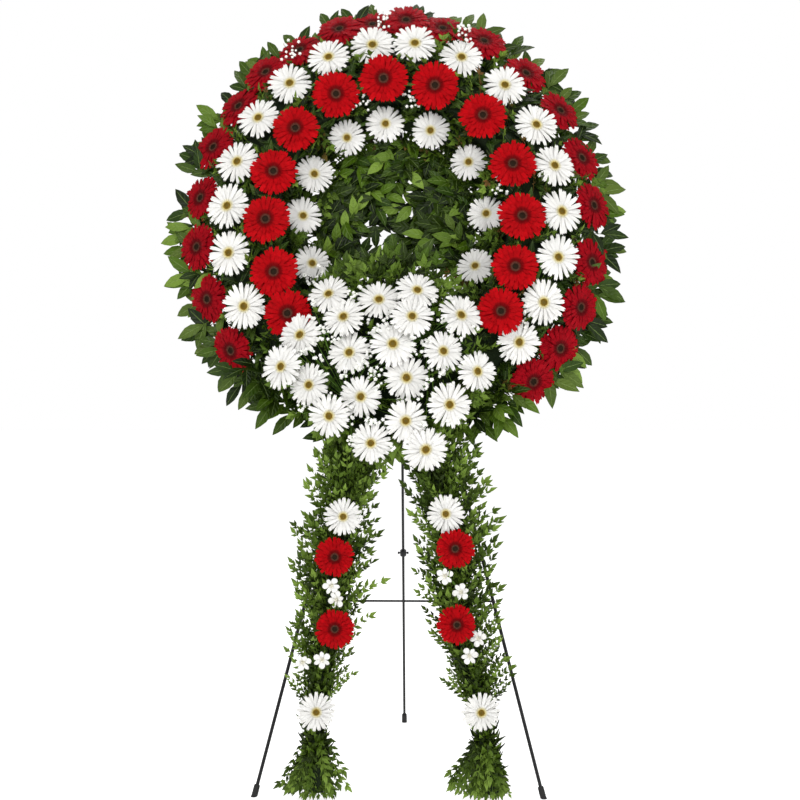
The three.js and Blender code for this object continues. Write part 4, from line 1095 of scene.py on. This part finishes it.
def cover_mound(pile, foliage, draw, twigs):
    """Sprigs among the white blooms and above them, and large leaves below."""
    green, pale = 1, 2
    for i in range(foliage.mound_sprigs):
        x, y = draw.uniform(*MOUND_BOX[0]), draw.uniform(*MOUND_BOX[1])
        if not inside_mound(x, y):
            continue
        dx, dy = x - MOUND_CENTRE[0], y - MOUND_CENTRE[1]
        spread = [0.9 * d / MOUND_REACH + draw.uniform(-0.5, 0.5) for d in (dx, dy)]
        axes = WREATH.laid((*spread, 1.1 - 0.4 * math.hypot(dx, dy) / MOUND_REACH), (dx, dy, 60))
        root = WREATH.point((x, y, MOUND_FOAM[1] - 2))
        pile.grow(draw, twigs[i % len(twigs)], root, axes, draw.uniform(0.8, 1.2), BED_TWIG, 0.35,
                  (-0.1, 0.4), green)
    leaf = blade(1, 0.42, LEAF_OUTLINE, 0.02, fold=0.05, arch=0.1, columns=2)
    for _, side in spaced(draw, -1, 1, foliage.mound_skirt):
        x = (SKIRT_X[0] + SKIRT_X[1] + side * (SKIRT_X[1] - SKIRT_X[0])) / 2
        root = WREATH.point((x, SKIRT_LOW + SKIRT_RISE * side**2, MOUND_FOAM[0] + draw.uniform(0, 26)))
        heading = (side * 0.9 + draw.uniform(-0.5, 0.5), -1, draw.uniform(-0.2, 0.7))
        pile.add(leaf, root, WREATH.laid(heading, (0, 0.3, 1)), draw.uniform(42, 70), draw.uniform(0.2, 1.1),
                 finish=pale)
    for i, x in enumerate(np.linspace(*CROWN_X, 2 * foliage.mound_crown + 1)[1::2]):
        root = WREATH.point((x, CROWN_Y, MOUND_FOAM[0] + draw.uniform(4, 20)))
        axes = WREATH.laid((draw.uniform(-0.5, 0.5), 1, draw.uniform(0, 0.4)), (0, -0.3, 1))
        size = draw.uniform(0.6, 1.5) + 0.7 * math.exp(-(((x + WREATH_X) / 45) ** 2))
        pile.grow(draw, twigs[i % len(twigs)], root, axes, size, CROWN_TWIG, 0.3, (-0.7, 0.5),
                  (green, pale)[i % 2])
    pile.build("mound_block_greenery", ("foam", "sprig", "leaf"), ["mound_foam"], "foam")


def build_leaves(context):
    foliage = context.scene.wreath_foliage
    draw = np.random.default_rng(21)
    leaf = blade(1, 0.4, LEAF_OUTLINE, 0.014, fold=0.05, arch=0.08, columns=2)
    branches = [branch(draw, 70, leaf, 2 + i % 2, 68) for i in range(8)]
    oval_leaf = blade(1, 0.44, LEAF_OUTLINE, 0.02, fold=0.05, arch=0.1, columns=2)
    kinds = ((160, 7), (62, 3), (112, 5))
    hole_branches = [branch(draw, length, oval_leaf, leaves, 51, 1.7) for length, leaves in 3 * kinds]
    both, slots = ("leaf", "dark_leaf"), ("leaves", "dark_leaves")
    sweep = (COLLAR[1] - COLLAR[0]) / COLLAR_ARCS
    for arc in range(COLLAR_ARCS):
        low, high = COLLAR[0] + arc * sweep, COLLAR[0] + (arc + 1) * sweep
        pile = wired(COLLAR_WIRE[0], low + 0.5, high - 0.5, COLLAR_WIRE[1])
        for i, angle in spaced(draw, low, high, foliage.collar_branches):
            shorter = 1 - 0.1 * max(0, math.sin(math.radians(angle))) ** 2
            turn, tilt = angle + draw.uniform(-22, 22), 90 + draw.uniform(0, 30)
            up = WREATH.way(polar(angle, draw.uniform(-15, 15)))
            place = on_ring(COLLAR_ROOT, angle, draw.uniform(-8, 2))
            size = shorter * (0.93, 0.62, 0.8)[i % 3]
            heading, clear = leaned_back(place, turn, tilt, BRANCH * size)
            pile.add(branches[i % len(branches)], place, laid(heading, up), size * max(0.5, clear),
                     draw.uniform(-0.1, 0.9), finish=draw.integers(2))
        pile.build(f"collar_leaves_{arc + 1}", both, [f"leaf_collar_{arc + 1}"], slots[arc % 2])
    for arc, (low, high) in enumerate(HOLE_ARCS):
        radius, height = section_point(0, 9, 3)
        pile = wired(radius, low, high, height)
        for i, angle in spaced(draw, low, high, foliage.hole_branches):
            root = ring_point(HOLE_ROOT, angle, draw.uniform(6, 14))
            sideways = unit((-root[1], root[0], 0))
            swing = draw.uniform(-0.34, 0.34) if i % 3 == 0 else draw.uniform(-0.6, 0.6)
            heading = unit((-root[0], -root[1], 0)) + sideways * swing + (0, 0, draw.uniform(0, 0.2))
            up = unit(sideways * draw.uniform(-0.4, 0.4) + (0, 0, 1))
            pile.add(hole_branches[i % len(hole_branches)], WREATH.point(root), WREATH.laid(heading, up),
                     draw.uniform(0.8, 1.1), draw.uniform(-0.7, 0.8), finish=draw.integers(2))
        pile.build(f"hole_screen_{arc + 1}", both, [f"hole_leaves_{arc + 1}"], slots[1 - arc % 2])
    for slot, (side, (low, high)) in zip(slots, LOWER_ARCS.items()):
        radius, height = section_point(5, 38, 4)
        pile = wired(radius, low, high, height)
        for i, angle in spaced(draw, low, high, foliage.lower_branches):
            tilt = (84, 62, 74, 48)[i % 4] + draw.uniform(-8, 8)
            place = on_ring(radius, angle, height)
            turn = angle + draw.uniform(-24, 24)
            size = draw.uniform(0.6, 0.9)
            heading, clear = leaned_back(place, turn, tilt, BRANCH * size)
            pile.add(branches[i % len(branches)], place, laid(heading, WREATH.way(polar(angle, -20))),
                     size * max(0.4, clear), draw.uniform(0, 0.6), finish=draw.integers(2))
        pile.build(f"lower_branches_{side}", both, [f"lower_leaves_{side}"], slot)


def on_line(line, height):
    """The point of a falling line at a height."""
    i = next((k for k in range(1, len(line) - 1) if line[k][2] < height), len(line) - 1)
    a, b = line[i - 1], line[i]
    return a + (b - a) * (a[2] - height) / (a[2] - b[2])


def build_garlands(context):
    foliage = context.scene.wreath_foliage
    draw = np.random.default_rng(34)
    heads = {kind: gerbera(draw, petal_layers(context.scene.wreath_blooms, kind), DISC[kind]) for kind in DISC}
    lily = alstroemeria(draw)
    leaflet = blade(1, 0.44, LEAFLET_OUTLINE, 0.05, fold=0.1, arch=0.07, columns=2)
    shape = {"yaw": (26, 46), "first": 0.1, "stem": 1.1, "tip_shade": 0.5}
    twigs = [sprig(draw, 96, leaflet, 6, 21, **shape) for _ in range(7)]
    for side, garland in GARLANDS.items():
        line = [FLOOR.point((x, *fall)) for x, fall in zip(garland["across"], GARLAND_FALL)]
        for i, (colour, place, radius) in enumerate(garland["blooms"]):
            pile = Pile()
            place = FLOOR.point(place)
            way = unit((draw.uniform(-0.12, 0.12), -1, draw.uniform(0, 0.18)))
            root = on_line(line, place[2])
            root = root + 6 * unit(place - root)
            add_bloom(pile, heads[colour], place, way, radius, root, draw)
            pile.build(f"garland_{side}_bloom_{i + 1}", (colour, "stem"), [f"garland_{side}_{colour}_{i + 1}"],
                       f"{colour}_petals")
        for i, places in enumerate(garland["alstroemerias"]):
            ends = [FLOOR.point(p) for p in places]
            fork = (ends[0] + ends[1]) / 2 + (0, 24, 0)
            core = on_line(line, fork[2])
            pile = Pile(tube([core + 6 * unit(fork - core), fork], 1.8, 6, finish=GREEN))
            for end in ends:
                way = unit((draw.uniform(-0.4, 0.4), -1, draw.uniform(-0.3, 0.3)))
                pile.add(lily, end, stood(way, draw.uniform(0, 6)), LILY)
                pile.add(tube([end - 2 * way, end - 9 * way, fork], [3, 1.8, 1.6], 6, finish=GREEN))
            pile.build(f"garland_{side}_lilies_{i + 1}", ("white", "stem"),
                       [f"garland_{side}_alstroemeria_{i + 1}"], "white_petals")
        garland_tie(line).build(f"garland_wire_{side}", ("wire",), [f"garland_tie_{side}"], "wire")
        up = unit(line[0] - line[1])
        # The core and its top take the second finish, the near-black foam: painted shade that shows as depth
        # through the gaps between the sprigs
        pile = Pile(tube([line[0] + 34 * up, line[0] - 8 * up], 5, 10, finish=GREEN),
                    tube(line, CORE_RADII, 14, finish=GREEN))
        cover_garland(pile, line, foliage, draw, twigs, leaflet)
        pile.build(f"garland_leaves_{side}", ("sprig", "foam"), [f"garland_{side}"], "sprigs")


def garland_tie(line):
    """Four turns of wire round a garland."""
    way = unit(line[TIE - 1] - line[TIE + 1])
    radius = CORE_RADII[TIE] + TIE_SEAT + TIE_WIRE
    pile = Pile()
    for turn in range(4):
        middle = line[TIE] + way * (2.6 * turn - 4.4)
        loop = [middle + np.array(around(a, radius)) @ stood(way) for a in np.linspace(0, 2 * math.pi, 25)]
        pile.add(tube(loop, TIE_WIRE, 6))
    return pile


def cover_garland(pile, line, foliage, draw, twigs, leaflet):
    """Sprigs that fan upwards all along a garland, single leaves between them, and a loose tail."""
    for i, share in spaced(draw, 0, 1, foliage.garland_sprigs, 0):
        height = SPRIG_HEIGHTS[0] + (SPRIG_HEIGHTS[1] - SPRIG_HEIGHTS[0]) * share
        turn = i * GOLDEN_ANGLE + draw.uniform(-0.4, 0.4)
        out = np.array((math.cos(turn), 0.55 * math.sin(turn), 0))
        root = on_line(line, height) + 10 * out
        heading = out * draw.uniform(0.35, 1) + (0, 0, draw.uniform(0.5, 1.1))
        size = (1 - 0.35 * max(0, (share - 0.6) / 0.4)) * draw.uniform(0.6, 1.1)
        axes = laid(heading, (draw.uniform(-0.5, 0.5), -1, 0.3))
        pile.grow(draw, twigs[i % len(twigs)], root, axes, size, GARLAND_TWIG, 0.25, (-0.3, 0.6))
    for i, height in spaced(draw, *LEAF_HEIGHTS, foliage.garland_leaves, 0):
        turn = i * GOLDEN_ANGLE
        out = unit((math.cos(turn), math.sin(turn) - 0.35, 0))
        root = on_line(line, height) + 13 * out
        heading = out * draw.uniform(0.3, 0.9) + (draw.uniform(-0.5, 0.5), 0, draw.uniform(0.2, 1))
        length = draw.uniform(18, 31)
        length *= max(0.4, clear_of_blooms(root, unit(heading), length))
        pile.add(leaflet, root, laid(heading, out), length, draw.uniform(-0.4, 1))
    for i in range(foliage.tail_sprigs):
        turn = i * GOLDEN_ANGLE
        out = np.array((math.cos(turn), 0.8 * math.sin(turn), 0))
        height = draw.uniform(*TAIL_HEIGHTS)
        root = on_line(line, height) + 8 * out
        heading = unit(out * draw.uniform(0.15, 0.75) - (0, 0, 1))
        size = min(1.0, (height - TAIL_END) / (-120 * heading[2]))
        pile.add(twigs[i % len(twigs)], root, laid(heading, (draw.uniform(-0.5, 0.5), -1, 0)), size,
                 draw.uniform(-0.2, 0.6))


def build_stage(context):
    settings = context.scene.wreath_stage
    floor = bpy.data.meshes.new("studio_floor")
    reach = 30
    corners = [(x * reach, y * reach, 0) for x, y in ((-1, -1), (1, -1), (1, 1), (-1, 1))]
    floor.from_pydata(corners, [], [(0, 1, 2, 3)])
    recipe = Recipe("pale floor")
    floor.materials.append(recipe.finished(base_color=(*settings.floor, 1), roughness=0.9,
                                           emission_color=(1, 1, 1, 1), emission_strength=settings.floor_glow))
    ground = bpy.data.objects.new("studio_floor", floor)
    context.scene.collection.objects.link(ground)
    for name, place, size, power in (
        ("key", (-1.0, -3.0, 2.7), 1.8, settings.key),
        ("fill", (2.4, -2.6, 1.5), 2.2, 0.55 * settings.key),
        ("top", (0.3, 0.6, 3.2), 1.6, 0.35 * settings.key),
        ("back", (0.6, 3.0, 1.8), 2.0, 0.3 * settings.key),
    ):
        data = bpy.data.lights.new(name, "AREA")
        data.energy = power
        data.size = size
        lamp = bpy.data.objects.new(name, data)
        context.scene.collection.objects.link(lamp)
        lamp.location = place
        aim = np.array((0, 0, 1.0)) - place
        axes = stood(-aim)
        lamp.rotation_euler = (math.acos(axes[2][2]), 0, math.atan2(axes[2][0], -axes[2][1]))
    world = bpy.data.worlds.new("studio")
    world.use_nodes = True
    tree = world.node_tree
    background = tree.nodes["Background"]
    background.inputs["Color"].default_value = (1, 1, 1, 1)
    path = tree.nodes.new("ShaderNodeLightPath")
    level = tree.nodes.new("ShaderNodeMapRange")
    level.inputs["To Min"].default_value = settings.sky
    level.inputs["To Max"].default_value = 1.0
    tree.links.new(path.outputs["Is Camera Ray"], level.inputs["Value"])
    tree.links.new(level.outputs["Result"], background.inputs["Strength"])
    context.scene.world = world
    context.scene.view_settings.view_transform = "Standard"
    lens = bpy.data.cameras.new("photo_view")
    lens.sensor_width = 36
    lens.lens = lens.sensor_width * FOCAL / PICTURE
    camera = bpy.data.objects.new("photo_view", lens)
    context.scene.collection.objects.link(camera)
    camera.location = np.array(CAMERA) * MM
    camera.rotation_euler = (math.pi / 2, 0, CAMERA_TURN)
    context.scene.camera = camera


# The add-on


def number(name, description, default, low, high):
    return bpy.props.IntProperty(name=name, description=description, default=default, min=low, max=high)


def share(name, description, default, low=0.0, high=1.0):
    return bpy.props.FloatProperty(name=name, description=description, default=default, min=low, max=high)


def colour(name, description, default):
    return bpy.props.FloatVectorProperty(name=name, description=description, default=default, subtype="COLOR",
                                         min=0.0, max=1.0, size=3)


class WreathEasel(bpy.types.PropertyGroup):
    paint: colour("Paint", "Colour of the rods", (0.009, 0.009, 0.01))
    gloss: share("Roughness", "Roughness of the painted rods", 0.45)
    sides: number("Sides", "Sides of a rod's round section", 20, 8, 64)


class WreathBlooms(bpy.types.PropertyGroup):
    white: colour("White", "Colour of the white petals", (0.95, 0.945, 0.92))
    red: colour("Red", "Colour of the bright red petals", (0.56, 0.0, 0.004))
    dark_red: colour("Dark red", "Colour of the outer row's petals", (0.42, 0.0, 0.008))
    outer_petals: number("Outer petals", "Petals in a bloom's outer layer", 21, 8, 40)
    inner_petals: number("Inner petals", "Petals in a bloom's second layer", 16, 8, 40)


class WreathFoliage(bpy.types.PropertyGroup):
    leaf: colour("Leaf", "Colour of the lighter leaves", (0.052, 0.104, 0.004))
    dark_leaf: colour("Dark leaf", "Colour of the darker leaves", (0.02, 0.046, 0.002))
    sprig: colour("Sprig", "Colour of the small leaves", (0.052, 0.098, 0.005))
    tip: colour("Young leaf", "Colour of the youngest leaves", (0.16, 0.25, 0.035))
    bed_sprigs: number("Ring sprigs", "Sprigs that grow out of the ring", 1180, 0, 3000)
    bed_leaves: number("Ring leaves", "Single leaves close to the ring", 1500, 0, 4000)
    mound_sprigs: number("Mound sprigs", "Sprigs tried on the mound", 420, 0, 900)
    mound_skirt: number("Mound skirt", "Leaves under the mound", 120, 0, 400)
    mound_crown: number("Mound crown", "Sprigs above the mound", 60, 0, 200)
    collar_branches: number("Collar branches", "Branches in each arc of the collar", 36, 4, 60)
    hole_branches: number("Hole branches", "Branches in each arc across the hole", 26, 4, 80)
    lower_branches: number("Lower branches", "Branches on each side below the mound", 22, 4, 60)
    garland_sprigs: number("Garland sprigs", "Sprigs on each garland above its tie", 420, 10, 700)
    garland_leaves: number("Garland leaves", "Single leaves close to each garland's core", 900, 0, 3000)
    tail_sprigs: number("Tail sprigs", "Sprigs on each garland below its tie", 90, 4, 160)


class WreathStage(bpy.types.PropertyGroup):
    floor: colour("Floor", "Colour of the floor", (0.9, 0.9, 0.9))
    floor_glow: share("Floor glow", "Light that the floor gives off", 0.6)
    sky: share("Sky", "Light from all round", 0.52, 0.0, 3.0)
    key: bpy.props.FloatProperty(name="Key light", description="Power of the main light", default=60.0,
                                 min=0.0, unit="POWER")


def operator(name, label, words, work):
    """An operator that makes one group of pieces."""

    def execute(self, context):
        work(context)
        return {"FINISHED"}

    body = {"bl_idname": f"wreath.{name}", "bl_label": label, "__doc__": words, "execute": execute}
    return type(f"WREATH_OT_{name}", (bpy.types.Operator,), body)


OPERATORS = [
    operator("stage", "Stage", "Makes the floor, the lights and the camera", build_stage),
    operator("easel", "Easel", "Makes the rods, the bracket, the clamp and the feet", build_easel),
    operator("rows", "Rows of blooms", "Makes the four rows of gerberas round the ring", build_rows),
    operator("mound", "Mound", "Makes the mound of white gerberas", build_mound),
    operator("gypsophila", "Gypsophila", "Makes the sprays of small white flowers", build_gypsophila),
    operator("foam", "Foam and greenery", "Makes the foam ring, the mound's block and their sprigs",
             build_foam),
    operator("leaves", "Leaves", "Makes the collar, the leaves across the hole and the lower branches",
             build_leaves),
    operator("garlands", "Garlands", "Makes the two garlands with their flowers and ties", build_garlands),
]


class WREATH_PT_panel(bpy.types.Panel):
    """Sizes, colours and pieces of the wreath."""

    bl_label = "Funeral wreath"
    bl_idname = "WREATH_PT_panel"
    bl_space_type = "VIEW_3D"
    bl_region_type = "UI"
    bl_category = "Wreath"

    def draw(self, context):
        for key in ("easel", "blooms", "foliage", "stage"):
            group = getattr(context.scene, f"wreath_{key}")
            box = self.layout.box()
            box.label(text=key.title())
            for name in group.__annotations__:
                box.prop(group, name)
        for made in OPERATORS:
            self.layout.operator(made.bl_idname)


GROUPS = {"easel": WreathEasel, "blooms": WreathBlooms, "foliage": WreathFoliage, "stage": WreathStage}


def register():
    for made in (*GROUPS.values(), *OPERATORS, WREATH_PT_panel):
        bpy.utils.register_class(made)
    for key, group in GROUPS.items():
        setattr(bpy.types.Scene, f"wreath_{key}", bpy.props.PointerProperty(type=group))


def unregister():
    for key in GROUPS:
        delattr(bpy.types.Scene, f"wreath_{key}")
    for made in (WREATH_PT_panel, *reversed(OPERATORS), *reversed(list(GROUPS.values()))):
        bpy.utils.unregister_class(made)


def main():
    register()
    for made in OPERATORS:
        getattr(bpy.ops.wreath, made.bl_idname.split(".")[1])()
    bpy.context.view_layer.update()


if __name__ == "__main__":
    main()
